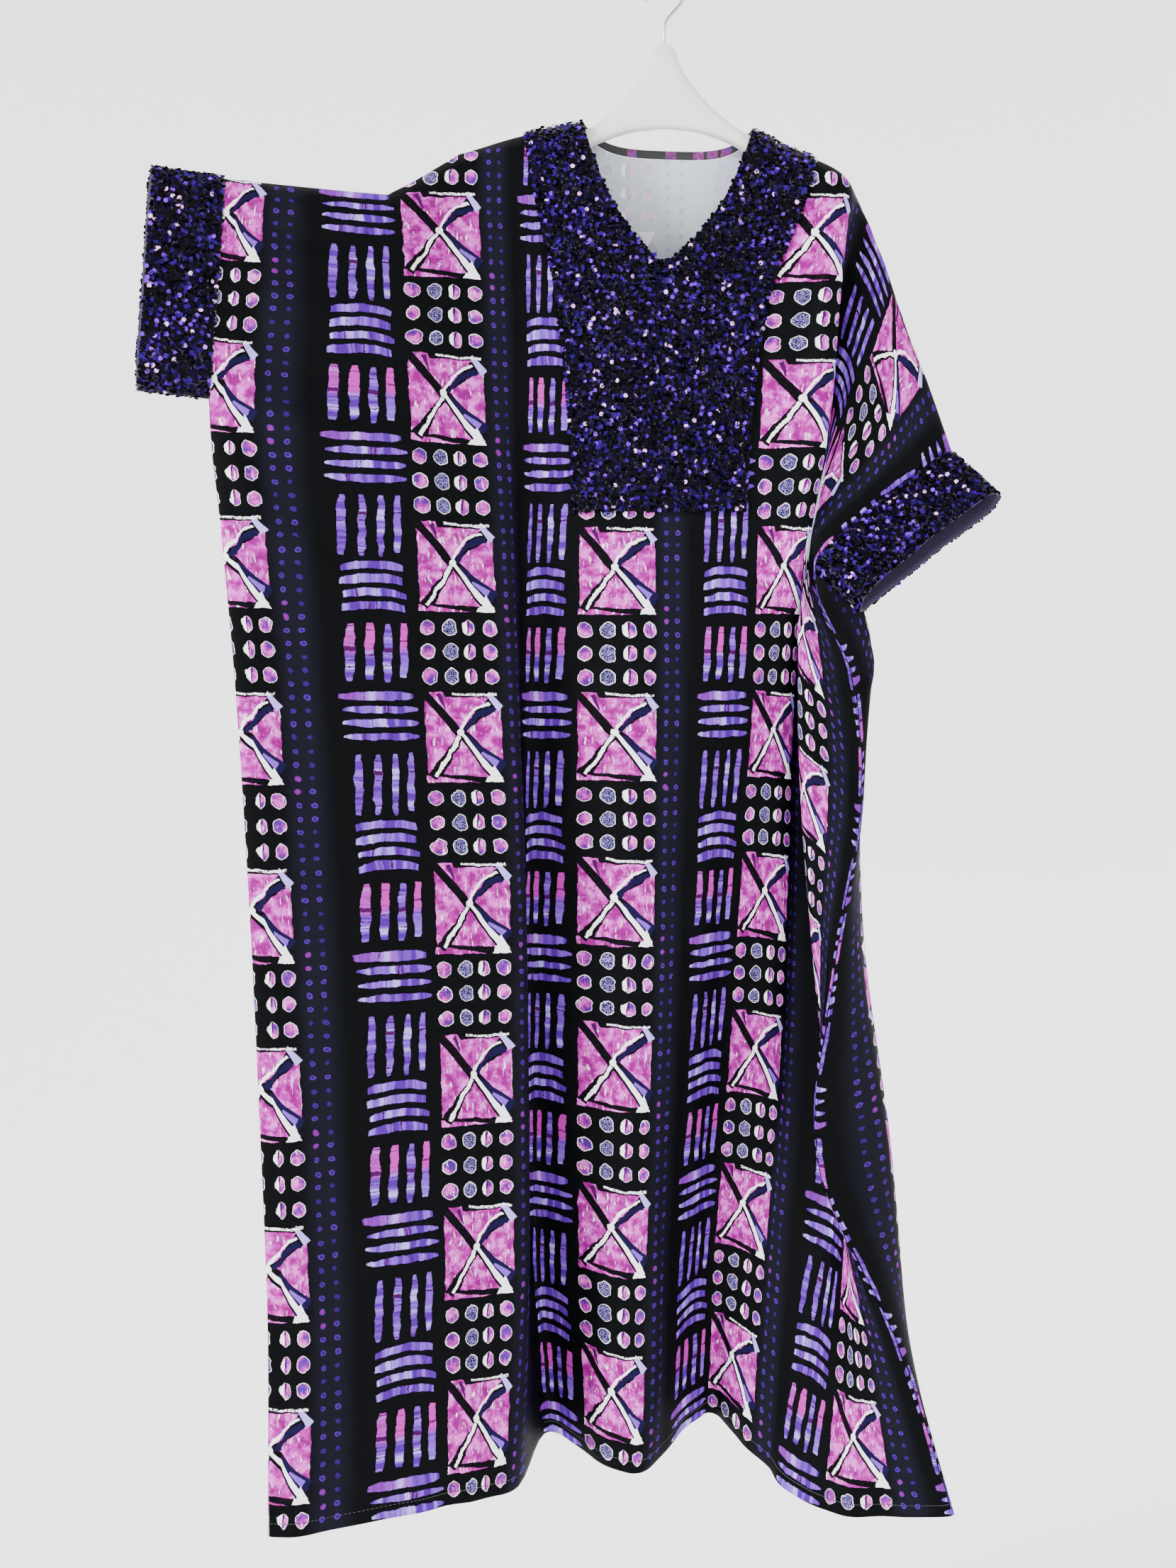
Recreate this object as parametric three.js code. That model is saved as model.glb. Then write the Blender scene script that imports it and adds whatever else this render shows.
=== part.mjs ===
// A wide kaftan dress hanging on a moulded plastic hanger.
// Millimetres, +Z up, front of the dress towards -Y, and X to the right as one looks at the front.
// The origin is where a rail touches the hanger's hook. Left and right are the looker's.
// The dress is one length of cloth folded over the shoulders. A place on it has two coordinates:
// u is the distance across the cloth from its centre line, and v the distance down from the neck.
import * as THREE from 'three';

// Heights and lengths of the dress
const NECK_LEVEL = -150;
const DRESS_LENGTH = 1340;
const HALF_WIDTH = 455;
const ARMHOLE_TOP = 75;
const ARMHOLE_BOTTOM = 303;
const NECK_HALF_WIDTH = 85;
const NECK_V_DEPTH = 143;
const BACK_NECK_DROP = 24;

// Cloth walls
const CLOTH_THICKNESS = 1.5;
const SEQUIN_THICKNESS = 2.4;
const SEAM_GAP = 0.3;

// Sleeve ends, cuffs, yoke and binding
const SLEEVE_HALF_OPENING = 15;
const SLEEVE_ROUND_START = 215;
const EDGE_RADIUS = 6;
const CUFF_DEPTH = 66;
const YOKE_BOTTOM = 388;
const BINDING_HEIGHT = 7.5;
const BINDING_THICKNESS = 2.6;

// How far the fold over the hanger and along the sleeves takes to open out
const FOLD_HEIGHT = 26;

// Heights down the cloth at which the tables below give the folds
const SECTIONS = [75, 190, 303, 420, 560, 760, 960, 1160, 1340];

// The front's fold lines, from the left seam to the right seam. Each row has the line's place on
// the cloth, how far the hem is lifted there, and its x and y at the sections.
const FRONT_FOLDS = [
  { name: 'left seam', u: -455, lift: -21,
    x: [-417, -424, -430, -419, -406, -393, -383, -375, -377],
    y: [-140, -140, -140, -140, -140, -140, -140, -140, -140] },
  { name: 'left panel', u: -295, lift: -8,
    x: [-266, -260, -255, -249, -242, -231, -224, -219, -215],
    y: [-80, -84, -86, -88, -88, -90, -92, -94, -95] },
  { name: 'left shoulder tip', u: -228, lift: -4,
    x: [-203, -199, -196, -189, -182, -172, -168, -166, -170],
    y: [-34, -50, -58, -63, -65, -68, -70, -72, -76] },
  { name: 'left ridge', u: -190, lift: 0,
    x: [-169, -164, -160, -154, -148, -139, -136, -136, -145],
    y: [-26, -36, -44, -50, -54, -57, -60, -62, -66] },
  { name: 'left valley', u: -155, lift: 29,
    x: [-140, -137, -135, -136, -138, -138, -136, -131, -118],
    y: [-22, -28, -30, -22, -9, -2, 5, 15, 28] },
  { name: 'centre ridge', u: -20, lift: 6,
    x: [-20, -20, -20, -20, -19, -20, -23, -28, -31],
    y: [-24, -26, -28, -30, -30, -30, -30, -32, -36] },
  { name: 'right valley', u: 112, lift: 45,
    x: [115, 100, 93, 91, 88, 76, 64, 51, 45],
    y: [-23, -27, -30, -22, -8, 2, 12, 22, 38] },
  { name: 'shoulder fold edge', u: 185, lift: 25,
    x: [179, 170, 160, 140, 128, 121, 112, 96, 81],
    y: [-26, -34, -36, -26, -2, 8, 14, 6, -10] },
  { name: 'tuck', u: 215, lift: 12,
    x: [192, 166, 154, 144, 135, 132, 126, 111, 99],
    y: [-10, -6, -2, 6, 14, 18, 18, -8, -32] },
  { name: 'far turn', u: 270, lift: -8,
    x: [214, 184, 160, 148, 162, 166, 180, 152, 123],
    y: [-10, -14, -18, -8, 4, 8, -4, -34, -56] },
  { name: 'near ridge', u: 335, lift: -20,
    x: [236, 200, 151, 134, 130, 142, 170, 176, 168],
    y: [-10, -16, -19, -38, -44, -46, -52, -68, -80] },
  { name: 'side strip', u: 395, lift: -18,
    x: [262, 211, 141, 150, 160, 150, 154, 192, 220],
    y: [-10, -14, -22, -36, -52, -64, -78, -88, -92] },
  { name: 'right seam', u: 455, lift: -14,
    x: [287, 218, 148, 184, 190, 160, 144, 220, 272],
    y: [-5, -13, -24, -24, -52, -78, -92, -98, -100] },
];

// The back's fold lines, from the right seam to the left seam
const BACK_FOLDS = [
  { name: 'back wrap', u: 395, lift: -14,
    x: [262, 211, 156, 205, 194, 190, 214, 234, 262],
    y: [14, 13, 9, 2, -24, -50, -60, -66, -70] },
  { name: 'back turn', u: 335, lift: -6,
    x: [236, 200, 162, 194, 190, 192, 208, 224, 236],
    y: [16, 16, 15, 20, 22, 18, 6, -8, -20] },
  { name: 'back right valley', u: 270, lift: 0,
    x: [214, 184, 163, 160, 150, 152, 168, 180, 178],
    y: [18, 20, 22, 34, 34, 34, 30, 24, 18] },
  { name: 'back right ridge', u: 215, lift: 0,
    x: [192, 170, 156, 126, 112, 112, 122, 126, 122],
    y: [22, 28, 34, 52, 60, 62, 62, 62, 64] },
  { name: 'back inner valley', u: 112, lift: 0,
    x: [116, 108, 98, 78, 60, 52, 52, 50, 45],
    y: [24, 30, 34, 42, 46, 50, 56, 62, 66] },
  { name: 'back centre', u: -20, lift: 0,
    x: [-20, -20, -22, -30, -40, -50, -55, -60, -66],
    y: [24, 32, 38, 46, 52, 56, 60, 64, 68] },
  { name: 'back left valley', u: -155, lift: 0,
    x: [-140, -140, -140, -140, -142, -146, -150, -154, -158],
    y: [22, 28, 30, 30, 30, 30, 30, 28, 24] },
  { name: 'back left ridge', u: -190, lift: 0,
    x: [-171, -170, -170, -170, -172, -176, -180, -184, -188],
    y: [22, 26, 30, 34, 38, 42, 46, 50, 54] },
  { name: 'back shoulder tip', u: -228, lift: 0,
    x: [-204, -203, -202, -200, -200, -202, -204, -206, -210],
    y: [14, 14, 14, 15, 16, 18, 20, 22, 24] },
  { name: 'back left panel', u: -295, lift: 0,
    x: [-268, -266, -264, -258, -252, -248, -246, -246, -248],
    y: [-50, -46, -42, -40, -38, -36, -34, -32, -30] },
];

// The fold over the shoulders: how far down the cloth it lies, left and right of the neck
const SHOULDER_LINE = [
  { u: 85, left: 0, right: 8 },
  { u: 118, left: 5, right: 24 },
  { u: 152, left: 11, right: 38 },
  { u: 185, left: 19, right: 51 },
  { u: 228, left: 33, right: 71 },
  { u: 262, left: 52, right: 75 },
  { u: 298, left: 75, right: 75 },
];

// How far the top of the held-out left sleeve sags, at places across it
const LEFT_SAG = [
  { u: -455, sag: 16 },
  { u: -400, sag: 22 },
  { u: -345, sag: 28 },
  { u: -315, sag: 24 },
  { u: -285, sag: 6 },
  { u: -262, sag: 0 },
];
const LEFT_SAG_FADE = 230;

// How far the fallen right sleeve's seam has dropped, at heights down the cloth
const RIGHT_DROP = [
  { v: 75, drop: 255 },
  { v: 190, drop: 192 },
  { v: 303, drop: 146 },
  { v: 420, drop: 128 },
  { v: 560, drop: 110 },
  { v: 760, drop: 82 },
  { v: 960, drop: 52 },
  { v: 1160, drop: 24 },
  { v: 1340, drop: 0 },
];
const RIGHT_DROP_START = 200;
const RIGHT_DROP_POWER = 1.3;

// The sequin yoke's half width, at heights down the cloth
const YOKE_OUTLINE = [
  { v: 0, half: 156 },
  { v: 40, half: 145 },
  { v: 100, half: 131 },
  { v: 155, half: 116 },
  { v: 230, half: 106 },
  { v: 312, half: 99 },
  { v: 388, half: 94 },
];

// Ways the sleeves point at their ends, and across each end from front to back
const LEFT_SLEEVE_AXIS = new THREE.Vector3(-0.955, -0.29, 0.06).normalize();
const RIGHT_SLEEVE_AXIS = new THREE.Vector3(0.6, -0.45, -0.66).normalize();
const LEFT_ACROSS = new THREE.Vector3(-0.29, 0.957, 0).normalize();
const RIGHT_ACROSS = new THREE.Vector3(0.223, 0.886, -0.402).normalize();

// Hanger and hook
const HANGER_TIP_LEFT = -210;
const HANGER_TIP_RIGHT = 190;
const HANGER_HALF_DEPTH = 10;
const HANGER_TIP_HALF_DEPTH = 7;
const HANGER_CLEARANCE = 1;
const HANGER_NECK_CLEARANCE = 4;
const HANGER_PROFILE = [
  { x: 0, top: -66, bottom: -155 },
  { x: 9, top: -67, bottom: -155 },
  { x: 14, top: -84, bottom: -156 },
  { x: 20, top: -97, bottom: -156 },
  { x: 28, top: -109, bottom: -157 },
  { x: 40, top: -124, bottom: -159 },
  { x: 54, top: -138, bottom: -164 },
  { x: 71, top: -153, bottom: -170 },
];
const HANGER_ARM_HEIGHT = 21;
const HANGER_TIP_HEIGHT = 15;
const WIRE_RADIUS = 1.9;
const HOOK_RADIUS = 20;
const HOOK_SEGMENTS = 8;

const PRINT_BLACK = new THREE.MeshStandardMaterial({ color: 0x14151f, roughness: 0.72, metalness: 0 });
const PRINT_VIOLET = new THREE.MeshStandardMaterial({ color: 0x4a2a6a, roughness: 0.72, metalness: 0 });
const SEQUIN_VIOLET = new THREE.MeshStandardMaterial({ color: 0x2a0a6e, roughness: 0.35, metalness: 0.4 });
const BINDING_BLACK = new THREE.MeshStandardMaterial({ color: 0x0c0c12, roughness: 0.7, metalness: 0 });
const HANGER_WHITE = new THREE.MeshStandardMaterial({ color: 0xece9e2, roughness: 0.35, metalness: 0 });
const HOOK_STEEL = new THREE.MeshStandardMaterial({ color: 0xb9bcc0, roughness: 0.25, metalness: 1 });

// Straight steps between the rows of a table, by a named column
function lookUp(rows, key, value, column) {
  const last = rows[rows.length - 1];
  if (value <= rows[0][key]) return rows[0][column];
  if (value >= last[key]) return last[column];
  const i = rows.findIndex((row) => row[key] > value) - 1;
  const share = (value - rows[i][key]) / (rows[i + 1][key] - rows[i][key]);
  return THREE.MathUtils.lerp(rows[i][column], rows[i + 1][column], share);
}

// A smooth curve through the values that a fold line has at the sections
function alongSections(values, v) {
  const n = SECTIONS.length;
  const clamped = THREE.MathUtils.clamp(v, SECTIONS[0], SECTIONS[n - 1]);
  let i = 0;
  while (i < n - 2 && SECTIONS[i + 1] < clamped) i += 1;
  const span = SECTIONS[i + 1] - SECTIONS[i];
  const t = (clamped - SECTIONS[i]) / span;
  const slope = (k) => {
    const a = Math.max(k - 1, 0);
    const b = Math.min(k + 1, n - 1);
    return (values[b] - values[a]) / (SECTIONS[b] - SECTIONS[a]);
  };
  const h00 = 2 * t ** 3 - 3 * t ** 2 + 1;
  const h10 = t ** 3 - 2 * t ** 2 + t;
  const h01 = -2 * t ** 3 + 3 * t ** 2;
  const h11 = t ** 3 - t ** 2;
  return h00 * values[i] + h10 * span * slope(i) + h01 * values[i + 1] + h11 * span * slope(i + 1);
}

function shoulderFold(u) {
  return lookUp(SHOULDER_LINE, 'u', Math.abs(u), u < 0 ? 'left' : 'right');
}

// Height of a place on the cloth: straight down, but for the sag and the fall of the sleeves
function heightOf(u, v, lift) {
  const sagShare = Math.max(0, 1 - (v - ARMHOLE_TOP) / LEFT_SAG_FADE) ** 2;
  const sag = u < 0 ? lookUp(LEFT_SAG, 'u', u, 'sag') * Math.min(1, sagShare) : 0;
  const across = Math.max(0, (u - RIGHT_DROP_START) / (HALF_WIDTH - RIGHT_DROP_START));
  const drop = lookUp(RIGHT_DROP, 'v', v, 'drop') * across ** RIGHT_DROP_POWER;
  return NECK_LEVEL - v - sag - drop + lift * (v / DRESS_LENGTH) ** 3;
}

function foldPoint(fold, v) {
  const x = alongSections(fold.x, v);
  const y = alongSections(fold.y, v);
  return new THREE.Vector3(x, y, heightOf(fold.u, v, fold.lift));
}

// Half the opening between front and back at a sleeve's end, rounding to nothing at its bottom
function sleeveOpening(v) {
  if (v >= ARMHOLE_BOTTOM) return 0;
  const down = Math.max(0, (v - SLEEVE_ROUND_START) / (ARMHOLE_BOTTOM - SLEEVE_ROUND_START));
  return SLEEVE_HALF_OPENING * Math.sqrt(1 - down ** 2);
}

const LEFT_SEAM = FRONT_FOLDS[0];
const RIGHT_SEAM = FRONT_FOLDS[FRONT_FOLDS.length - 1];

// The point just inside the left seam, on the front (side -1) or the back (side 1)
function leftEdge(v, side) {
  const spread = Math.max(EDGE_RADIUS, sleeveOpening(v));
  return foldPoint(LEFT_SEAM, v)
    .addScaledVector(LEFT_SLEEVE_AXIS, -2 * EDGE_RADIUS)
    .addScaledVector(LEFT_ACROSS, side * spread);
}

function leftSeam(v, side) {
  return foldPoint(LEFT_SEAM, v).addScaledVector(LEFT_ACROSS, side * sleeveOpening(v));
}

function rightSeam(v, side) {
  return foldPoint(RIGHT_SEAM, v).addScaledVector(RIGHT_ACROSS, side * sleeveOpening(v));
}

// The line of points across the cloth at one height, with two more beyond each seam. Below the
// armholes those are the other panel's points, so that the cloth runs smoothly round the seams.
function frontLine(v) {
  const inner = FRONT_FOLDS.slice(1, -1).map((fold) => foldPoint(fold, v));
  const main = [leftSeam(v, -1), leftEdge(v, -1), ...inner, rightSeam(v, -1)];
  if (v < ARMHOLE_BOTTOM) return withStraightEnds(main);
  const before = [foldPoint(BACK_FOLDS[BACK_FOLDS.length - 1], v), leftEdge(v, 1)];
  const after = [foldPoint(BACK_FOLDS[0], v), foldPoint(BACK_FOLDS[1], v)];
  return [...before, ...main, ...after];
}

function backLine(v) {
  const inner = BACK_FOLDS.map((fold) => foldPoint(fold, v));
  const main = [rightSeam(v, 1), ...inner, leftEdge(v, 1), leftSeam(v, 1)];
  if (v < ARMHOLE_BOTTOM) return withStraightEnds(main);
  const n = FRONT_FOLDS.length;
  const before = [foldPoint(FRONT_FOLDS[n - 3], v), foldPoint(FRONT_FOLDS[n - 2], v)];
  const after = [leftEdge(v, -1), foldPoint(FRONT_FOLDS[1], v)];
  return [...before, ...main, ...after];
}

function withStraightEnds(points) {
  const n = points.length;
  const start = [2, 1].map((k) => points[0].clone().lerp(points[1], -k));
  const end = [1, 2].map((k) => points[n - 1].clone().lerp(points[n - 2], -k));
  return [...start, ...points, ...end];
}

// Places across each panel as steps from one fold line to the next, and their distance across
const LEFT_EDGE_U = -HALF_WIDTH + 2 * EDGE_RADIUS;
const FRONT_U = [-HALF_WIDTH, LEFT_EDGE_U, ...FRONT_FOLDS.slice(1, -1).map((f) => f.u), HALF_WIDTH];
const BACK_U = [HALF_WIDTH, ...BACK_FOLDS.map((f) => f.u), LEFT_EDGE_U, -HALF_WIDTH];

function distanceAcross(list, s) {
  const i = THREE.MathUtils.clamp(Math.floor(s), 0, list.length - 2);
  return THREE.MathUtils.lerp(list[i], list[i + 1], s - i);
}

// The inverse: the step along a panel's fold lines at a distance across the cloth
function stepAt(list, u) {
  const falling = list[0] > list[1];
  let i = 0;
  while (i < list.length - 2 && (falling ? list[i + 1] > u : list[i + 1] < u)) i += 1;
  return i + (u - list[i]) / (list[i + 1] - list[i]);
}

const PANELS = {
  front: { side: -1, line: frontLine, places: FRONT_U },
  back: { side: 1, line: backLine, places: BACK_U },
};

const lineCache = new Map();

function curveAt(panel, v) {
  const key = `${panel.side} ${v.toFixed(4)}`;
  if (!lineCache.has(key)) {
    const curve = new THREE.CatmullRomCurve3(panel.line(v), false, 'centripetal');
    lineCache.set(key, curve);
  }
  return lineCache.get(key);
}

// A panel's surface before the fold over the shoulders draws front and back together
function openPoint(panel, s, v) {
  const curve = curveAt(panel, v);
  return curve.getPoint((s + 2) / (curve.points.length - 1));
}

// The same place on the other panel, seen through to the same distance across
function otherPoint(panel, s, v) {
  const other = panel.side < 0 ? PANELS.back : PANELS.front;
  const u = distanceAcross(panel.places, s);
  return openPoint(other, stepAt(other.places, u), v);
}

function clothPoint(panel, s, v) {
  const u = distanceAcross(panel.places, s);
  const below = (v - shoulderFold(u)) / FOLD_HEIGHT;
  const open = openPoint(panel, s, v);
  if (below >= 1) return open;
  const share = Math.sqrt(Math.max(0, 1 - (1 - Math.max(0, below)) ** 2));
  const middle = open.clone().add(otherPoint(panel, s, v)).multiplyScalar(0.5);
  return middle.lerp(open, share);
}

// How far apart the points are that a direction on the cloth is measured from
const SAMPLE_ACROSS = 0.02;
const SAMPLE_ALONG_FOLD = 0.05;
const SAMPLE_DOWN = 1;

// Outward normal: the front's points towards -Y where the cloth hangs flat
function clothNormal(panel, s, v) {
  const across = clothPoint(panel, s + SAMPLE_ACROSS, v).sub(clothPoint(panel, s - SAMPLE_ACROSS, v));
  const down = clothPoint(panel, s, v + SAMPLE_DOWN).sub(clothPoint(panel, s, v));
  return new THREE.Vector3().crossVectors(down, across).normalize();
}

function pointOnFold(panel, s) {
  return clothPoint(panel, s, shoulderFold(distanceAcross(panel.places, s)));
}

// On the fold itself both panels face straight out from it
function foldNormal(panel, s, v) {
  const ridge = pointOnFold(panel, s + SAMPLE_ALONG_FOLD).sub(pointOnFold(panel, s - SAMPLE_ALONG_FOLD));
  const through = otherPoint(panel, s, v).sub(openPoint(panel, s, v));
  const normal = new THREE.Vector3().crossVectors(through, ridge).normalize();
  return normal.z < 0 ? normal.negate() : normal;
}

// Columns across a panel: so many between each named place on the cloth and the next
function columnsAcross(rows) {
  const columns = [];
  rows.forEach(({ from, to, count }) => {
    for (let k = 0; k < count; k += 1) columns.push(THREE.MathUtils.lerp(from, to, k / count));
  });
  columns.push(rows[rows.length - 1].to);
  return columns;
}

const COLUMNS = columnsAcross([
  { from: -HALF_WIDTH, to: LEFT_EDGE_U, count: 2 },
  { from: LEFT_EDGE_U, to: -298, count: 3 },
  { from: -298, to: -228, count: 3 },
  { from: -228, to: -152, count: 3 },
  { from: -152, to: -NECK_HALF_WIDTH, count: 2 },
  { from: -NECK_HALF_WIDTH, to: -82, count: 1 },
  { from: -82, to: -68, count: 1 },
  { from: -68, to: 0, count: 3 },
  { from: 0, to: 68, count: 3 },
  { from: 68, to: 82, count: 1 },
  { from: 82, to: NECK_HALF_WIDTH, count: 1 },
  { from: NECK_HALF_WIDTH, to: 152, count: 2 },
  { from: 152, to: 185, count: 1 },
  { from: 185, to: 270, count: 5 },
  { from: 270, to: 395, count: 5 },
  { from: 395, to: HALF_WIDTH, count: 4 },
]);

// Heights down a panel: close together over the shoulder, then at even spaces to the hem
const FOLD_ROWS = [0, 0.025, 0.1, 0.24, 0.46, 0.74, 1];
const SLEEVE_SHARES = [0.22, 0.44, 0.62, 0.76, 0.87, 0.95];
const BODY_ROWS = 12;
const BODY_ROW_POWER = 1.15;

function rowHeights(top) {
  const foldRows = FOLD_ROWS.map((share) => top + share * FOLD_HEIGHT);
  const start = top + FOLD_HEIGHT;
  const sleeve = SLEEVE_SHARES.map((share) => THREE.MathUtils.lerp(start, ARMHOLE_BOTTOM, share));
  const body = [];
  for (let i = 0; i <= BODY_ROWS; i += 1) {
    body.push(THREE.MathUtils.lerp(ARMHOLE_BOTTOM, DRESS_LENGTH, (i / BODY_ROWS) ** BODY_ROW_POWER));
  }
  return [...foldRows, ...sleeve, ...body];
}

// The neck's edge: a V on the front and a shallow curve on the back
const NECK_V_STRAIGHT = 0.4;
const NECK_V_POWER = 2.5;
const BACK_NECK_POWER = 4;

function frontNeck(u) {
  const r = Math.min(1, Math.abs(u) / NECK_HALF_WIDTH);
  return NECK_V_DEPTH * (1 - NECK_V_STRAIGHT * r - (1 - NECK_V_STRAIGHT) * r ** NECK_V_POWER);
}

function backNeck(u) {
  const r = Math.min(1, Math.abs(u) / NECK_HALF_WIDTH);
  return BACK_NECK_DROP * (1 - r ** BACK_NECK_POWER) + shoulderFold(u);
}

function topOf(panel, u) {
  if (Math.abs(u) >= NECK_HALF_WIDTH) return shoulderFold(u);
  return panel.side < 0 ? frontNeck(u) : backNeck(u);
}

// A grid of points on a panel, each with its outward normal
function panelGrid(panel, columns) {
  return columns.map((u, column) => {
    const s = stepAt(panel.places, u);
    const onFold = Math.abs(u) >= NECK_HALF_WIDTH;
    const atSeam = column === 0 || column === columns.length - 1;
    return rowHeights(topOf(panel, u)).map((v, row) => {
      const point = clothPoint(panel, s, v);
      const normal = onFold && row === 0 ? foldNormal(panel, s, v) : clothNormal(panel, s, v);
      if (onFold && row === 0) {
        const apart = openPoint(panel, s, v).sub(otherPoint(panel, s, v)).normalize();
        point.addScaledVector(apart, SEAM_GAP / 2);
      }
      if (atSeam) {
        const inward = column === 0 ? SAMPLE_ALONG_FOLD : -SAMPLE_ALONG_FOLD;
        const inside = clothPoint(panel, s + inward, v).sub(point).normalize();
        point.addScaledVector(inside, SEAM_GAP / 2);
      }
      return { point, normal };
    });
  });
}

// A closed wall of even thickness on a grid of points and normals
function wallGeometry(grid, thickness, closed = false) {
  const columns = grid.length;
  const rows = grid[0].length;
  const positions = [];
  const place = (half) => grid.forEach((column) => column.forEach(({ point, normal }) => {
    const moved = point.clone().addScaledVector(normal, half);
    positions.push(moved.x, moved.y, moved.z);
  }));
  place(thickness / 2);
  place(-thickness / 2);
  const outer = (i, j) => (i % columns) * rows + j;
  const inner = (i, j) => columns * rows + outer(i, j);
  const indices = [];
  const quad = (a, b, c, d) => indices.push(a, b, c, a, c, d);
  const lastColumn = closed ? columns : columns - 1;
  for (let i = 0; i < lastColumn; i += 1) {
    for (let j = 0; j < rows - 1; j += 1) {
      quad(outer(i, j), outer(i, j + 1), outer(i + 1, j + 1), outer(i + 1, j));
      quad(inner(i, j), inner(i + 1, j), inner(i + 1, j + 1), inner(i, j + 1));
    }
    quad(outer(i, 0), outer(i + 1, 0), inner(i + 1, 0), inner(i, 0));
    quad(outer(i, rows - 1), inner(i, rows - 1), inner(i + 1, rows - 1), outer(i + 1, rows - 1));
  }
  for (let j = 0; j < rows - 1 && !closed; j += 1) {
    quad(outer(0, j), inner(0, j), inner(0, j + 1), outer(0, j + 1));
    const e = columns - 1;
    quad(outer(e, j), outer(e, j + 1), inner(e, j + 1), inner(e, j));
  }
  const geometry = new THREE.BufferGeometry();
  geometry.setAttribute('position', new THREE.Float32BufferAttribute(positions, 3));
  geometry.setIndex(indices);
  geometry.computeVertexNormals();
  return geometry;
}

function namedMesh(name, geometry, material) {
  const mesh = new THREE.Mesh(geometry, material);
  mesh.name = name;
  return mesh;
}

function frontPanel() {
  const grid = panelGrid(PANELS.front, COLUMNS);
  return namedMesh('front_panel', wallGeometry(grid, CLOTH_THICKNESS), PRINT_BLACK);
}

function backPanel() {
  const grid = panelGrid(PANELS.back, [...COLUMNS].reverse());
  return namedMesh('back_panel', wallGeometry(grid, CLOTH_THICKNESS), PRINT_VIOLET);
}

// The sequin yoke lies on the front: its points are the front's, moved out
const YOKE_EDGE_SPACE = 8;
const YOKE_BODY_ROWS = 9;
const YOKE_CLEARANCE = 1.3;
const YOKE_EDGE_PASSES = 6;

function yokeHalf(v) {
  return lookUp(YOKE_OUTLINE, 'v', v, 'half');
}

// The yoke's columns start at the front's own columns, between its two slanting side edges
function yokeTops() {
  const edges = [-1, 1].map((side) => {
    let u = side * yokeHalf(0);
    for (let k = 0; k < YOKE_EDGE_PASSES; k += 1) u = side * yokeHalf(shoulderFold(u));
    return u;
  });
  const between = COLUMNS.filter((u) => u > edges[0] + YOKE_EDGE_SPACE && u < edges[1] - YOKE_EDGE_SPACE);
  return [edges[0], ...between, edges[1]];
}

function yokeColumn(topU) {
  const top = topOf(PANELS.front, topU);
  const share = topU / yokeHalf(top);
  const heights = FOLD_ROWS.slice(0, -1).map((part) => top + part * FOLD_HEIGHT);
  for (let k = 0; k <= YOKE_BODY_ROWS; k += 1) {
    heights.push(THREE.MathUtils.lerp(top + FOLD_HEIGHT, YOKE_BOTTOM, k / YOKE_BODY_ROWS));
  }
  return heights.map((v) => ({ u: share * yokeHalf(v), v }));
}

function sequinYoke() {
  const lift = CLOTH_THICKNESS / 2 + YOKE_CLEARANCE + SEQUIN_THICKNESS / 2;
  const grid = yokeTops().map((topU) => yokeColumn(topU).map(({ u, v }, row) => {
    const s = stepAt(PANELS.front.places, u);
    const onFold = row === 0 && Math.abs(u) >= NECK_HALF_WIDTH;
    const normal = onFold ? foldNormal(PANELS.front, s, v) : clothNormal(PANELS.front, s, v);
    return { point: clothPoint(PANELS.front, s, v).addScaledVector(normal, lift), normal };
  }));
  return namedMesh('sequin_yoke', wallGeometry(grid, SEQUIN_THICKNESS), SEQUIN_VIOLET);
}

// The binding stands on the cut edge of the back's neck
const BINDING_END_SHARE = 0.2;

function neckBinding() {
  const columns = COLUMNS.filter((u) => Math.abs(u) <= NECK_HALF_WIDTH).reverse();
  const edge = columns.map((u) => {
    const s = stepAt(PANELS.back.places, u);
    const v = backNeck(u);
    return { point: clothPoint(PANELS.back, s, v), normal: clothNormal(PANELS.back, s, v) };
  });
  const last = edge.length - 1;
  edge[0].point.lerp(edge[1].point, BINDING_END_SHARE);
  edge[last].point.lerp(edge[last - 1].point, BINDING_END_SHARE);
  const grid = edge.map(({ point, normal }) => [BINDING_HEIGHT, BINDING_HEIGHT / 2, 0].map((height) => {
    const raised = point.clone();
    raised.z += SEAM_GAP + height + Math.abs(normal.z) * CLOTH_THICKNESS;
    return { point: raised, normal: new THREE.Vector3(normal.x, normal.y, 0).normalize() };
  }));
  return namedMesh('back_neck_binding', wallGeometry(grid, BINDING_THICKNESS), BINDING_BLACK);
}

// A cuff is a tube that carries the sleeve's end on by its own depth
const CUFF_ROWS = 3;
const CUFF_ROUNDING = 8;
const CUFF_START = 0.8;

function sleeveEnd(seamPoint) {
  const heights = rowHeights(ARMHOLE_TOP).filter((v) => v < ARMHOLE_BOTTOM - 2 * CUFF_ROUNDING);
  const front = heights.map((v) => seamPoint(PANELS.front, v));
  const back = heights.slice(1).map((v) => seamPoint(PANELS.back, v));
  const bottom = seamPoint(PANELS.front, ARMHOLE_BOTTOM - CUFF_ROUNDING)
    .lerp(seamPoint(PANELS.back, ARMHOLE_BOTTOM - CUFF_ROUNDING), 0.5);
  return [...front, bottom, ...back.reverse()];
}

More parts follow.
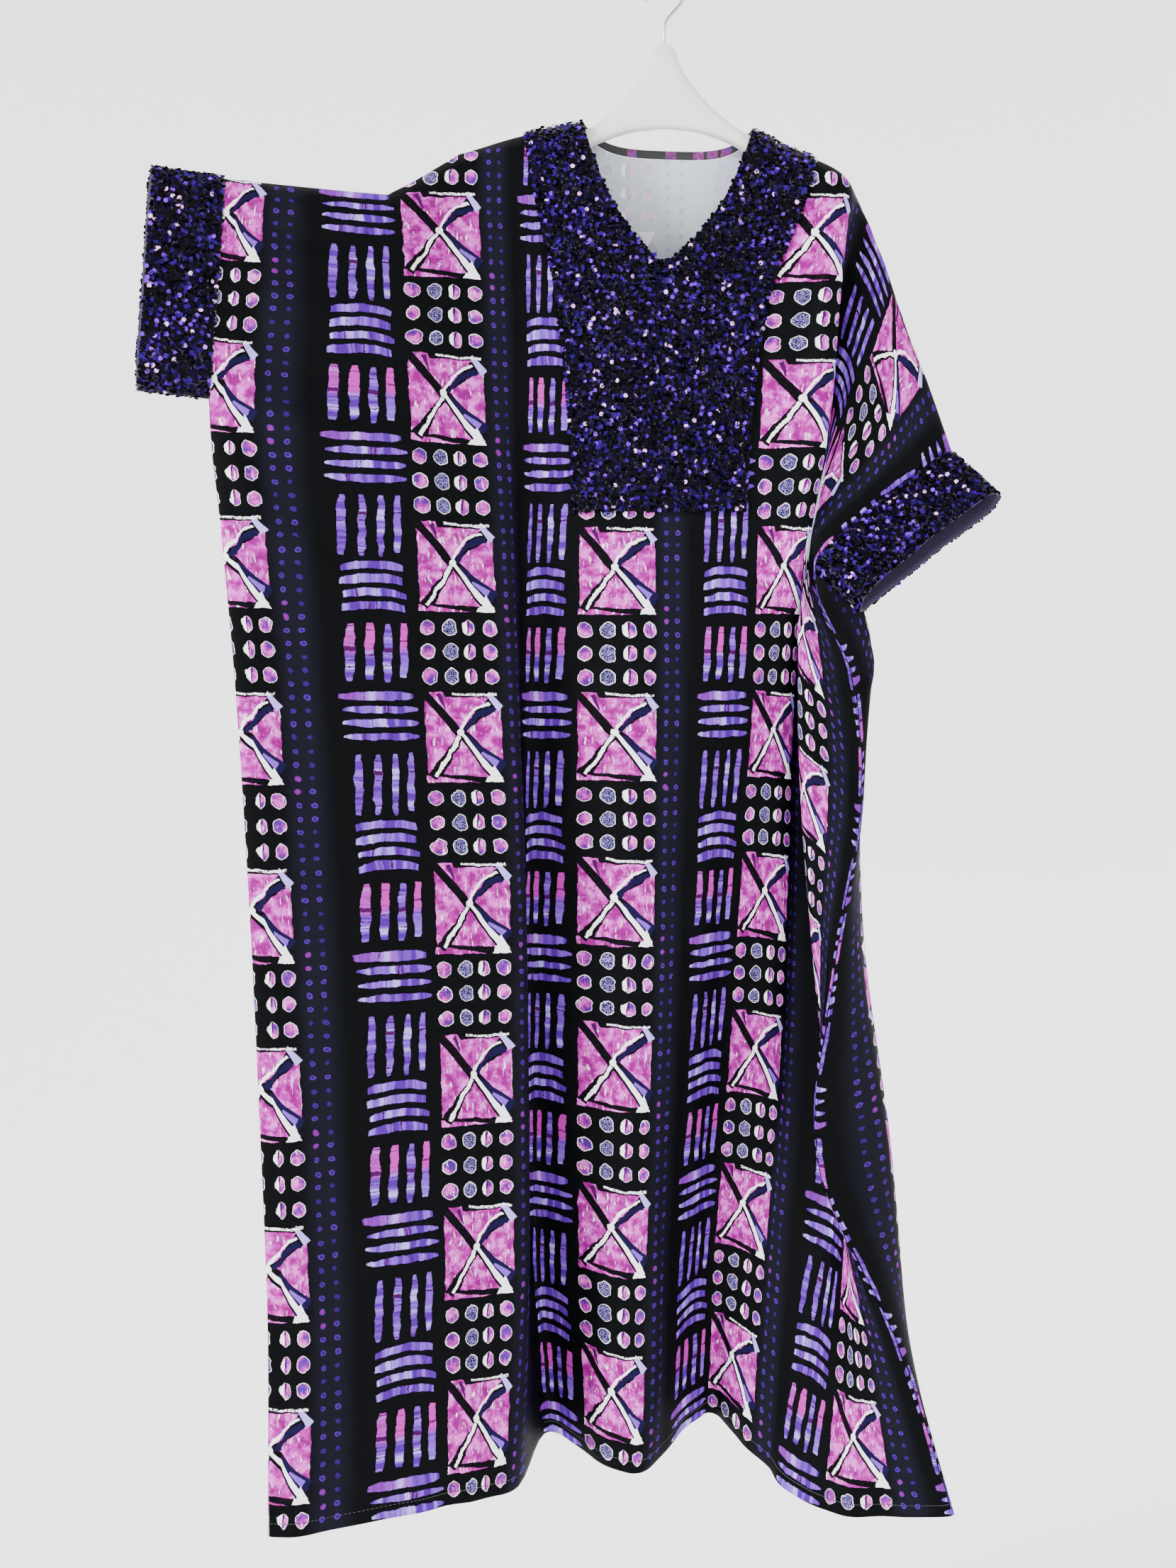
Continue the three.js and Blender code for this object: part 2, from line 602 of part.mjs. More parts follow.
function cuff(name, seamPoint, axis, turnsOver) {
  const ring = sleeveEnd(seamPoint);
  const n = ring.length;
  const centre = ring.reduce((sum, point) => sum.add(point), new THREE.Vector3()).divideScalar(n);
  const grid = ring.map((point, i) => {
    const along = ring[(i + 1) % n].clone().sub(ring[(i + n - 1) % n]);
    const normal = new THREE.Vector3().crossVectors(along, axis).normalize();
    if (normal.dot(point.clone().sub(centre)) < 0) normal.negate();
    const column = [];
    for (let j = 0; j <= CUFF_ROWS; j += 1) {
      const out = CUFF_START + (CUFF_DEPTH * j) / CUFF_ROWS;
      column.push({ point: point.clone().addScaledVector(axis, out), normal });
    }
    return column;
  });
  if (turnsOver) grid.reverse();
  return namedMesh(name, wallGeometry(grid, SEQUIN_THICKNESS, true), SEQUIN_VIOLET);
}

function cuffLeft() {
  const ends = { front: 0, back: PANELS.back.places.length - 1 };
  const place = (panel, v) => clothPoint(panel, panel.side < 0 ? ends.front : ends.back, v);
  return cuff('cuff_left', place, LEFT_SLEEVE_AXIS, false);
}

function cuffRight() {
  const ends = { front: PANELS.front.places.length - 1, back: 0 };
  const place = (panel, v) => clothPoint(panel, panel.side < 0 ? ends.front : ends.back, v);
  return cuff('cuff_right', place, RIGHT_SLEEVE_AXIS, true);
}

// The hanger's broad arms carry the fold of the cloth. It is a row of rounded upright sections
// from tip to tip, tall at the neck in the middle.
const HANGER_SECTION_POINTS = 12;
const SIDE_ROUNDNESS = 0.75;
const UNDERSIDE_ROUNDNESS = 0.5;

// Upright sections of the arms, each under a place u on the fold of the cloth
function armStations(places) {
  const far = Math.max(...places.map(Math.abs));
  return places.map((u) => {
    const fold = clothPoint(PANELS.front, stepAt(PANELS.front.places, u), shoulderFold(u));
    const out = (Math.abs(u) - NECK_HALF_WIDTH) / (far - NECK_HALF_WIDTH);
    const extra = out === 0 ? HANGER_NECK_CLEARANCE : 0;
    const top = fold.z - CLOTH_THICKNESS / 2 - HANGER_CLEARANCE - extra;
    const height = THREE.MathUtils.lerp(HANGER_ARM_HEIGHT, HANGER_TIP_HEIGHT, out);
    const halfDepth = THREE.MathUtils.lerp(HANGER_HALF_DEPTH, HANGER_TIP_HALF_DEPTH, out ** 3);
    return { x: fold.x, top, bottom: top - height, halfDepth };
  });
}

function neckStations() {
  const right = HANGER_PROFILE.map((row) => ({ ...row, halfDepth: HANGER_HALF_DEPTH }));
  const left = right.slice(1).reverse().map((row) => ({ ...row, x: -row.x }));
  return [...left, ...right];
}

function hangerStations() {
  const onArms = COLUMNS.filter((u) => u >= HANGER_TIP_LEFT && u <= HANGER_TIP_RIGHT);
  const leftArm = armStations(onArms.filter((u) => u <= -NECK_HALF_WIDTH));
  const rightArm = armStations(onArms.filter((u) => u >= NECK_HALF_WIDTH));
  return [...leftArm, ...neckStations(), ...rightArm];
}

function hanger() {
  const stations = hangerStations();
  const positions = [];
  stations.forEach(({ x, top, bottom, halfDepth }) => {
    for (let k = 0; k < HANGER_SECTION_POINTS; k += 1) {
      const turn = (2 * Math.PI * (k + 0.5)) / HANGER_SECTION_POINTS;
      const up = Math.sin(turn);
      const side = Math.sign(Math.cos(turn)) * Math.abs(Math.cos(turn)) ** SIDE_ROUNDNESS;
      const share = up > 0 ? up : -(Math.abs(up) ** UNDERSIDE_ROUNDNESS);
      positions.push(x, side * halfDepth, (top + bottom) / 2 + (share * (top - bottom)) / 2);
    }
  });
  const n = HANGER_SECTION_POINTS;
  const indices = [];
  for (let i = 0; i < stations.length - 1; i += 1) {
    for (let k = 0; k < n; k += 1) {
      const a = i * n + k;
      const b = i * n + ((k + 1) % n);
      indices.push(a, b, b + n, a, b + n, a + n);
    }
  }
  const end = (stations.length - 1) * n;
  for (let k = 1; k < n - 1; k += 1) {
    indices.push(0, k + 1, k);
    indices.push(end, end + k, end + k + 1);
  }
  const geometry = new THREE.BufferGeometry();
  geometry.setAttribute('position', new THREE.Float32BufferAttribute(positions, 3));
  geometry.setIndex(indices);
  geometry.computeVertexNormals();
  return namedMesh('hanger', geometry, HANGER_WHITE);
}

// The hook: a wire that rises from the hanger's neck and turns over the rail
const HOOK_TIP_TURN = 205;
const HOOK_START_TURN = -35;
const HOOK_TURN_STEPS = 20;
const HOOK_LENGTH_STEPS = 44;
const SHANK_RISE = 8;
const SHANK_BEND = { x: 2, rise: 20 };

// Where the hook's foot stands: just above the flat top of the hanger's middle section
function hookFoot() {
  const [{ top, bottom }] = HANGER_PROFILE;
  const reach = Math.cos(Math.PI / HANGER_SECTION_POINTS);
  return (top + bottom) / 2 + (reach * (top - bottom)) / 2 + SEAM_GAP;
}

function hangerHook() {
  const centre = new THREE.Vector3(0, 0, WIRE_RADIUS - HOOK_RADIUS);
  const foot = hookFoot();
  const points = [
    new THREE.Vector3(0, 0, foot),
    new THREE.Vector3(0, 0, foot + SHANK_RISE),
    new THREE.Vector3(SHANK_BEND.x, 0, foot + SHANK_BEND.rise),
  ];
  for (let k = 0; k <= HOOK_TURN_STEPS; k += 1) {
    const share = k / HOOK_TURN_STEPS;
    const turn = THREE.MathUtils.degToRad(THREE.MathUtils.lerp(HOOK_START_TURN, HOOK_TIP_TURN, share));
    const reach = new THREE.Vector3(Math.cos(turn), 0, Math.sin(turn)).multiplyScalar(HOOK_RADIUS);
    points.push(centre.clone().add(reach));
  }
  const section = new THREE.Shape();
  for (let k = 0; k < HOOK_SEGMENTS; k += 1) {
    const turn = (2 * Math.PI * (k + 0.5)) / HOOK_SEGMENTS;
    const x = WIRE_RADIUS * Math.cos(turn);
    const y = WIRE_RADIUS * Math.sin(turn);
    if (k === 0) section.moveTo(x, y);
    else section.lineTo(x, y);
  }
  const path = new THREE.CatmullRomCurve3(points, false, 'centripetal');
  const settings = { steps: HOOK_LENGTH_STEPS, bevelEnabled: false, extrudePath: path };
  return namedMesh('hanger_hook', new THREE.ExtrudeGeometry(section, settings), HOOK_STEEL);
}

const dress = new THREE.Group();
dress.add(frontPanel());
dress.add(backPanel());
dress.add(sequinYoke());
dress.add(neckBinding());
dress.add(cuffLeft());
dress.add(cuffRight());
dress.add(hanger());
dress.add(hangerHook());

export default dress;
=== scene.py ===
# %% [markdown]
# # A kaftan dress on its hanger
# The real dress is one long piece of thin printed polyester. It is folded over the shoulders, sewn
# down both sides below wide sleeves, and trimmed with a yoke and two cuffs of violet sequins. It
# hangs on a white plastic hanger, with one sleeve held out and the other fallen.
#
# Everything here is in metres, +Z up, with the front of the dress towards -Y. The origin is where a
# rail touches the hanger's hook. Left and right are the looker's.

import math

import bmesh
import bpy
import numpy as np
from mathutils import Matrix, Vector


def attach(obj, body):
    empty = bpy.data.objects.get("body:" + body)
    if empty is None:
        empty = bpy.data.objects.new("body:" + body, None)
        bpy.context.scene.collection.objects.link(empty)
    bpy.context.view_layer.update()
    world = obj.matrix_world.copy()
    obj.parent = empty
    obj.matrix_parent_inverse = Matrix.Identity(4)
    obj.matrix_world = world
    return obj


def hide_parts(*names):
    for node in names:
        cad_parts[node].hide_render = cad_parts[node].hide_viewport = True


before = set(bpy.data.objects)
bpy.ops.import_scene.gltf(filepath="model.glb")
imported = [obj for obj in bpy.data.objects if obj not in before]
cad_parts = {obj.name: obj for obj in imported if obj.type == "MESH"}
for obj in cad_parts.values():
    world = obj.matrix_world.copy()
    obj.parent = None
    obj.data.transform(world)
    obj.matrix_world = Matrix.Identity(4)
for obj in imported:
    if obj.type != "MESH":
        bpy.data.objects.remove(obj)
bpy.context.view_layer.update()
print("CAD nodes:", sorted(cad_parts))

# %% [markdown]
# The photograph is taken straight on, from about 2.25 m away and at the height of the dress's
# waist. A real camera would be a lens and a film size. Here the lens is worked out from the height
# of the picture at the dress, because that is what can be measured. The dress hangs a little right
# of the middle, so the camera stands a little to its left.

# %% Camera
PICTURE_HEIGHT = 1.564
CAMERA_DISTANCE = 2.25
CAMERA_PLACE = (-0.076, -CAMERA_DISTANCE, -0.807)
FILM_HEIGHT = 36.0

camera_data = bpy.data.cameras.new("camera")
camera_data.sensor_fit = "VERTICAL"
camera_data.sensor_height = FILM_HEIGHT
camera_data.lens = FILM_HEIGHT * CAMERA_DISTANCE / PICTURE_HEIGHT
camera = bpy.data.objects.new("camera", camera_data)
camera.location = CAMERA_PLACE
camera.rotation_euler = (math.radians(90), 0, 0)
bpy.context.collection.objects.link(camera)
bpy.context.scene.camera = camera
print("lens in mm:", round(camera_data.lens, 1))

# %% [markdown]
# ## The form of the cloth
# Cloth can be modelled by simulation, by sculpting, or from sections. The way this dress hangs is
# known from its folds, so it is made from sections. A place on the cloth has two coordinates in
# millimetres: u is the distance across from the centre line, and v the distance down from the neck.
# Each row below is one fold line. It says how far the hem is lifted there, and where the line runs,
# in x and y, at the heights in SECTIONS. They are the solid part's values, but for the lifts on the
# back, which keep its hem from showing below the front's.

# %% Sizes of the dress, in millimetres
NECK_LEVEL = -150
DRESS_LENGTH = 1340
HALF_WIDTH = 455
ARMHOLE_TOP = 75
ARMHOLE_BOTTOM = 303
NECK_HALF_WIDTH = 85
NECK_V_DEPTH = 143
NECK_V_STRAIGHT = 0.4
NECK_V_POWER = 2.5
BACK_NECK_DROP = 24
BACK_NECK_POWER = 4
SLEEVE_HALF_OPENING = 15
SLEEVE_ROUND_START = 215
EDGE_RADIUS = 6
FOLD_HEIGHT = 26
CUFF_DEPTH = 66
YOKE_BOTTOM = 388
MILLIMETRE = 0.001
METRE = 1000

SECTIONS = np.array([75, 190, 303, 420, 560, 760, 960, 1160, 1340], float)

FRONT_FOLDS = [
    (-455, -21, [-417, -424, -430, -419, -406, -393, -383, -375, -377],  # left seam
     [-140, -140, -140, -140, -140, -140, -140, -140, -140]),
    (-295, -8, [-266, -260, -255, -249, -242, -231, -224, -219, -215],  # left panel
     [-80, -84, -86, -88, -88, -90, -92, -94, -95]),
    (-228, -4, [-203, -199, -196, -189, -182, -172, -168, -166, -170],  # left shoulder tip
     [-34, -50, -58, -63, -65, -68, -70, -72, -76]),
    (-190, 0, [-169, -164, -160, -154, -148, -139, -136, -136, -145],  # left ridge
     [-26, -36, -44, -50, -54, -57, -60, -62, -66]),
    (-155, 29, [-140, -137, -135, -136, -138, -138, -136, -131, -118],  # left valley
     [-22, -28, -30, -22, -9, -2, 5, 15, 28]),
    (-20, 6, [-20, -20, -20, -20, -19, -20, -23, -28, -31],  # centre ridge
     [-24, -26, -28, -30, -30, -30, -30, -32, -36]),
    (112, 45, [115, 100, 93, 91, 88, 76, 64, 51, 45],  # right valley
     [-23, -27, -30, -22, -8, 2, 12, 22, 38]),
    (185, 25, [179, 170, 160, 140, 128, 121, 112, 96, 81],  # shoulder fold edge
     [-26, -34, -36, -26, -2, 8, 14, 6, -10]),
    (215, 12, [192, 166, 154, 144, 135, 132, 126, 111, 99],  # tuck
     [-10, -6, -2, 6, 14, 18, 18, -8, -32]),
    (270, -8, [214, 184, 160, 148, 162, 166, 180, 152, 123],  # far turn
     [-10, -14, -18, -8, 4, 8, -4, -34, -56]),
    (335, -20, [236, 200, 151, 134, 130, 142, 170, 176, 168],  # near ridge
     [-10, -16, -19, -38, -44, -46, -52, -68, -80]),
    (395, -18, [262, 211, 141, 150, 160, 150, 154, 192, 220],  # side strip
     [-10, -14, -22, -36, -52, -64, -78, -88, -92]),
    (455, -14, [287, 218, 148, 184, 190, 160, 144, 220, 272],  # right seam
     [-5, -13, -24, -24, -52, -78, -92, -98, -100]),
]
BACK_FOLDS = [
    (395, -14, [262, 211, 156, 205, 194, 190, 214, 234, 262],  # back wrap
     [14, 13, 9, 2, -24, -50, -60, -66, -70]),
    (335, -6, [236, 200, 162, 194, 190, 192, 208, 224, 236],  # back turn
     [16, 16, 15, 20, 22, 18, 6, -8, -20]),
    (270, 8, [214, 184, 163, 160, 150, 152, 168, 180, 178],  # back right valley
     [18, 20, 22, 34, 34, 34, 30, 24, 18]),
    (215, 34, [192, 170, 156, 126, 112, 112, 122, 126, 122],  # back right ridge
     [22, 28, 34, 52, 60, 62, 62, 62, 64]),
    (112, 46, [116, 108, 98, 78, 60, 52, 52, 50, 45],  # back inner valley
     [24, 30, 34, 42, 46, 50, 56, 62, 66]),
    (-20, 28, [-20, -20, -22, -30, -40, -50, -55, -60, -66],  # back centre
     [24, 32, 38, 46, 52, 56, 60, 64, 68]),
    (-155, 36, [-140, -140, -140, -140, -142, -146, -150, -154, -158],  # back left valley
     [22, 28, 30, 30, 30, 30, 30, 28, 24]),
    (-190, 22, [-171, -170, -170, -170, -172, -176, -180, -184, -188],  # back left ridge
     [22, 26, 30, 34, 38, 42, 46, 50, 54]),
    (-228, 6, [-204, -203, -202, -200, -200, -202, -204, -206, -210],  # back shoulder tip
     [14, 14, 14, 15, 16, 18, 20, 22, 24]),
    (-295, 0, [-268, -266, -264, -258, -252, -248, -246, -246, -248],  # back left panel
     [-50, -46, -42, -40, -38, -36, -34, -32, -30]),
]
FRONT_FOLDS, BACK_FOLDS = (
    [dict(zip(("u", "lift", "x", "y"), row)) for row in rows]
    for rows in (FRONT_FOLDS, BACK_FOLDS))
print("fold lines:", len(FRONT_FOLDS), "on the front,", len(BACK_FOLDS), "on the back")

# %% [markdown]
# Three short tables finish the description. The fold over the shoulders does not lie level, because
# the arms of a hanger slope. The held-out left sleeve sags between the hanger and its seam. The
# right sleeve has dropped off the end of the hanger, so its cloth hangs much lower.

# %% Shoulder line, sag, drop and yoke
SHOULDER_LINE = dict(
    u=[85, 118, 152, 185, 228, 262, 298],
    left=[0, 5, 11, 19, 33, 52, 75],
    right=[8, 24, 38, 51, 71, 75, 75],
)
LEFT_SAG = dict(u=[-455, -400, -345, -315, -285, -262], sag=[16, 22, 28, 24, 6, 0])
LEFT_SAG_FADE = 230
RIGHT_DROP = dict(
    v=[75, 190, 303, 420, 560, 760, 960, 1160, 1340],
    drop=[255, 192, 146, 128, 110, 82, 52, 24, 0],
)
RIGHT_DROP_START = 200
RIGHT_DROP_POWER = 1.3
YOKE_OUTLINE = dict(v=[0, 40, 100, 155, 230, 312, 388], half=[156, 145, 131, 116, 106, 99, 94])


def direction(*parts):
    vector = np.array(parts, float)
    return vector / np.linalg.norm(vector)


LEFT_SLEEVE_AXIS = direction(-0.955, -0.29, 0.06)
RIGHT_SLEEVE_AXIS = direction(0.6, -0.45, -0.66)
LEFT_ACROSS = direction(-0.29, 0.957, 0)
RIGHT_ACROSS = direction(0.223, 0.886, -0.402)
print("sleeve axes:", LEFT_SLEEVE_AXIS.round(2), RIGHT_SLEEVE_AXIS.round(2))

# %% [markdown]
# Down the cloth, a fold line is drawn smoothly through its values at the sections. The height of a
# place is its distance down the cloth, plus the sag, the drop and the lift of the hem.

# %% Points on a fold line
def along_sections(values, v):
    values = np.asarray(values, float)
    low = np.maximum(np.arange(len(SECTIONS)) - 1, 0)
    high = np.minimum(np.arange(len(SECTIONS)) + 1, len(SECTIONS) - 1)
    slope = (values[high] - values[low]) / (SECTIONS[high] - SECTIONS[low])
    v = np.clip(v, SECTIONS[0], SECTIONS[-1])
    i = np.searchsorted(SECTIONS[1:-1], v, side="left")
    span = SECTIONS[i + 1] - SECTIONS[i]
    t = (v - SECTIONS[i]) / span
    ahead = 3 * t**2 - 2 * t**3
    start_slope = (t**3 - 2 * t**2 + t) * span * slope[i]
    end_slope = (t**3 - t**2) * span * slope[i + 1]
    return (1 - ahead) * values[i] + ahead * values[i + 1] + start_slope + end_slope


def height_of(u, v, lift):
    fade = np.clip(1 - (v - ARMHOLE_TOP) / LEFT_SAG_FADE, 0, 1) ** 2
    sag = np.interp(u, LEFT_SAG["u"], LEFT_SAG["sag"]) * fade if u < 0 else 0
    across = max(0, (u - RIGHT_DROP_START) / (HALF_WIDTH - RIGHT_DROP_START))
    drop = np.interp(v, RIGHT_DROP["v"], RIGHT_DROP["drop"]) * across**RIGHT_DROP_POWER
    return NECK_LEVEL - v - sag - drop + lift * (v / DRESS_LENGTH) ** 3


def fold_point(fold, v):
    x = along_sections(fold["x"], v)
    y = along_sections(fold["y"], v)
    return np.stack([x, y, height_of(fold["u"], v, fold["lift"])], axis=-1)


def sleeve_opening(v):
    down = np.clip((v - SLEEVE_ROUND_START) / (ARMHOLE_BOTTOM - SLEEVE_ROUND_START), 0, 1)
    return SLEEVE_HALF_OPENING * np.sqrt(1 - down**2)


print("centre ridge at the hem:", fold_point(FRONT_FOLDS[5], np.array([1340.0])).round(1))

# %% [markdown]
# Across the cloth, each height has a row of points, one on each fold line. Below the sleeves the
# front and the back are one tube, so each row borrows two points from the other panel at each end.
# The curve through the points then turns smoothly round the side seams.

# %% Rows of points across the front and the back
def left_edge(v, side):
    spread = np.maximum(EDGE_RADIUS, sleeve_opening(v))[:, None]
    seam = fold_point(FRONT_FOLDS[0], v)
    return seam - 2 * EDGE_RADIUS * LEFT_SLEEVE_AXIS + side * spread * LEFT_ACROSS


def left_seam(v, side):
    return fold_point(FRONT_FOLDS[0], v) + side * sleeve_opening(v)[:, None] * LEFT_ACROSS


def right_seam(v, side):
    return fold_point(FRONT_FOLDS[-1], v) + side * sleeve_opening(v)[:, None] * RIGHT_ACROSS


def with_ends(points, before, after, v):
    first, second = points[0], points[1]
    last, previous = points[-1], points[-2]
    straight_before = [first - 2 * (second - first), first - (second - first)]
    straight_after = [last - (previous - last), last - 2 * (previous - last)]
    on_sleeve = (v < ARMHOLE_BOTTOM)[:, None]
    before = [np.where(on_sleeve, a, b) for a, b in zip(straight_before, before)]
    after = [np.where(on_sleeve, a, b) for a, b in zip(straight_after, after)]
    return np.stack([*before, *points, *after])


def front_line(v):
    inner = [fold_point(fold, v) for fold in FRONT_FOLDS[1:-1]]
    points = [left_seam(v, -1), left_edge(v, -1), *inner, right_seam(v, -1)]
    before = [fold_point(BACK_FOLDS[-1], v), left_edge(v, 1)]
    after = [fold_point(BACK_FOLDS[0], v), fold_point(BACK_FOLDS[1], v)]
    return with_ends(points, before, after, v)


def back_line(v):
    inner = [fold_point(fold, v) for fold in BACK_FOLDS]
    points = [right_seam(v, 1), *inner, left_edge(v, 1), left_seam(v, 1)]
    before = [fold_point(FRONT_FOLDS[-3], v), fold_point(FRONT_FOLDS[-2], v)]
    after = [left_edge(v, -1), fold_point(FRONT_FOLDS[1], v)]
    return with_ends(points, before, after, v)


LEFT_EDGE_U = -HALF_WIDTH + 2 * EDGE_RADIUS
FRONT_U = [-HALF_WIDTH, LEFT_EDGE_U, *[fold["u"] for fold in FRONT_FOLDS[1:-1]], HALF_WIDTH]
BACK_U = [HALF_WIDTH, *[fold["u"] for fold in BACK_FOLDS], LEFT_EDGE_U, -HALF_WIDTH]
FRONT = dict(name="front", line=front_line, places=np.array(FRONT_U, float))
BACK = dict(name="back", line=back_line, places=np.array(BACK_U, float))
print("places across:", len(FRONT_U), "and", len(BACK_U))

# %% [markdown]
# The curve across is a centripetal Catmull-Rom spline. It passes through every point and does not
# overshoot where points lie close together, as they do in the pleat at the right.

# %% A place on the cloth
def step_at(panel, u):
    places = panel["places"]
    steps = np.arange(len(places), dtype=float)
    if places[0] > places[-1]:
        return np.interp(u, places[::-1], steps[::-1])
    return np.interp(u, places, steps)


def open_point(panel, u, v):
    step = step_at(panel, u)
    first = np.minimum(step.astype(int), len(panel["places"]) - 2)
    w = (step - first)[:, None]
    line = panel["line"](v)
    row = np.arange(len(v))
    x0, x1, x2, x3 = [line[first + 1 + k, row] for k in range(4)]
    pairs = ((x0, x1), (x1, x2), (x2, x3))
    d0, d1, d2 = [((b - a) ** 2).sum(axis=1)[:, None] ** 0.25 for a, b in pairs]
    t1 = ((x1 - x0) / d0 - (x2 - x0) / (d0 + d1) + (x2 - x1) / d1) * d1
    t2 = ((x2 - x1) / d1 - (x3 - x1) / (d1 + d2) + (x3 - x2) / d2) * d1
    square = -3 * x1 + 3 * x2 - 2 * t1 - t2
    cube = 2 * x1 - 2 * x2 + t1 + t2
    return x1 + t1 * w + square * w**2 + cube * w**3


def shoulder_fold(u):
    left = np.interp(np.abs(u), SHOULDER_LINE["u"], SHOULDER_LINE["left"])
    right = np.interp(np.abs(u), SHOULDER_LINE["u"], SHOULDER_LINE["right"])
    share = np.clip((u + NECK_HALF_WIDTH) / (2 * NECK_HALF_WIDTH), 0, 1)
    return left + (right - left) * share


def cloth_point(panel, u, v):
    other = BACK if panel is FRONT else FRONT
    point = open_point(panel, u, v)
    middle = (point + open_point(other, u, v)) / 2
    below = np.clip((v - shoulder_fold(u)) / FOLD_HEIGHT, 0, 1)
    share = np.sqrt(1 - (1 - below) ** 2)[:, None]
    return middle + (point - middle) * share


sample = cloth_point(FRONT, np.array([0.0, 335.0]), np.array([760.0, 760.0]))
print("two places on the front:", sample.round(1).tolist())

# %% [markdown]
# ## Creases
# The sections give the large folds. The smaller creases are listed one by one, each as a soft
# trough or ridge on a bent line across the cloth. Height is how far the cloth stands out along it,
# and a trough has a height below zero. On the held-out sleeve they hang like smiles between two
# points.
# On the fallen sleeve they fan out where the cloth is pulled over the end of the hanger.

# %% Creases placed one by one
# Start, bend and end as (u, v), then width and height
CREASES = dict(
    front=[
        ((-440, 150), (-370, 245), (-285, 170), 17, 5),
        ((-445, 205), (-360, 315), (-262, 235), 19, -4),
        ((-430, 262), (-350, 372), (-252, 315), 16, 4),
        ((-412, 115), (-360, 158), (-300, 118), 11, -3),
        ((-448, 330), (-400, 420), (-322, 520), 15, 3.5),
        ((-400, 420), (-385, 560), (-392, 760), 17, -3),
        ((-340, 560), (-352, 760), (-345, 1010), 20, 3),
        ((-270, 400), (-288, 610), (-280, 850), 15, -3),
        ((-420, 860), (-415, 1080), (-405, 1338), 18, 3.5),
        ((-300, 960), (-310, 1150), (-318, 1338), 16, -3.5),
        ((-112, 420), (-98, 560), (-104, 760), 12, 2.5),
        ((-62, 620), (-74, 830), (-66, 1130), 16, -3),
        ((22, 450), (30, 600), (24, 830), 13, -2.5),
        ((58, 700), (62, 930), (66, 1250), 15, 3),
        ((-8, 980), (4, 1150), (12, 1338), 17, 3),
        ((152, 120), (146, 240), (150, 400), 9, -2.5),
        ((172, 75), (160, 160), (164, 260), 8, 2),
        ((205, 118), (300, 150), (410, 132), 10, 2.5),
        ((212, 190), (318, 236), (430, 205), 11, -2.5),
        ((250, 420), (320, 470), (420, 455), 12, 2.5),
        ((352, 330), (400, 372), (448, 352), 9, 3),
        ((345, 520), (392, 560), (446, 545), 11, -3),
        ((350, 640), (372, 820), (366, 1060), 12, 2.5),
        ((420, 700), (428, 900), (424, 1180), 11, -2.5),
    ],
    back=[
        ((-440, 160), (-372, 250), (-288, 182), 18, 5),
        ((-444, 222), (-362, 330), (-265, 262), 18, -4),
        ((-420, 420), (-408, 640), (-416, 930), 18, 3.5),
        ((-352, 520), (-362, 800), (-356, 1180), 20, -3),
        ((-300, 700), (-290, 960), (-296, 1338), 17, 3),
        ((-96, 260), (-104, 480), (-98, 780), 15, 3),
        ((-62, 620), (-70, 900), (-82, 1338), 18, -3),
        ((28, 300), (40, 620), (34, 980), 16, 3),
        ((60, 800), (52, 1050), (58, 1338), 17, -3),
        ((-196, 60), (-120, 96), (-20, 88), 13, -2),
        ((30, 84), (108, 108), (178, 96), 12, 2),
        ((212, 170), (318, 220), (425, 190), 12, -2.5),
        ((330, 420), (390, 470), (446, 440), 11, 2.5),
    ],
)
CREASE_SAMPLES = 28
CREASE_FADE = 0.22
CREASE_REACH = 4
HEM_WAVES = [dict(length=83, height=1.6, shift=0.3), dict(length=51, height=1.1, shift=1.9)]
HEM_WAVE_START = 900
HEM_WAVE_BEND = 1.3
HEM_WAVE_BEND_LENGTH = 190


def crease_line(*corners):
    t = np.linspace(0, 1, CREASE_SAMPLES)[:, None]
    start, bend, end = np.array(corners, float)
    return (1 - t) ** 2 * start + 2 * t * (1 - t) * bend + t**2 * end, t[:, 0]


def crease_height(panel, u, v):
    total = np.zeros(len(u))
    for *corners, width, height in CREASES[panel["name"]]:
        line, share = crease_line(*corners)
        reach = np.ptp(line, axis=0) + CREASE_REACH * width
        far_u, far_v = np.abs(u - line[:, 0].mean()), np.abs(v - line[:, 1].mean())
        near = np.flatnonzero((far_u < reach[0]) & (far_v < reach[1]))
        gaps = (u[near, None] - line[:, 0]) ** 2 + (v[near, None] - line[:, 1]) ** 2
        nearest = gaps.argmin(axis=1)
        t = share[nearest]
        fade = np.clip(np.minimum(t, 1 - t) / CREASE_FADE, 0, 1)
        fade = fade * fade * (3 - 2 * fade)
        soft = np.exp(-gaps[np.arange(len(near)), nearest] / width**2)
        total[near] += height * soft * fade
    grow = np.clip((v - HEM_WAVE_START) / (DRESS_LENGTH - HEM_WAVE_START), 0, 1) ** 2
    for wave in HEM_WAVES:
        bend = wave["shift"] + HEM_WAVE_BEND * np.sin(v / HEM_WAVE_BEND_LENGTH)
        total += grow * wave["height"] * np.sin(2 * math.pi * u / wave["length"] + bend)
    return total


print("creases:", {side: len(rows) for side, rows in CREASES.items()})

# %% [markdown]
# ## From points to a shell
# A panel is a grid of quads that bmesh makes flat. Each of its vertices is then moved to its place
# on the cloth, and its u and v are kept as a UV map, so the print runs with the threads of the
# cloth. The shell gets its thickness from a Solidify modifier, whose inner faces take the second
# material: the pale wrong side of the cloth.

# %% Turn a grid of places into a mesh
CLOTH_THICKNESS = 0.0009


def link_mesh(name, mesh):
    piece = bpy.data.objects.new(name, mesh)
    bpy.context.collection.objects.link(piece)
    return piece


def mesh_piece(name, bm):
    mesh = bpy.data.meshes.new(name)
    bm.to_mesh(mesh)
    bm.free()
    return link_mesh(name, mesh)


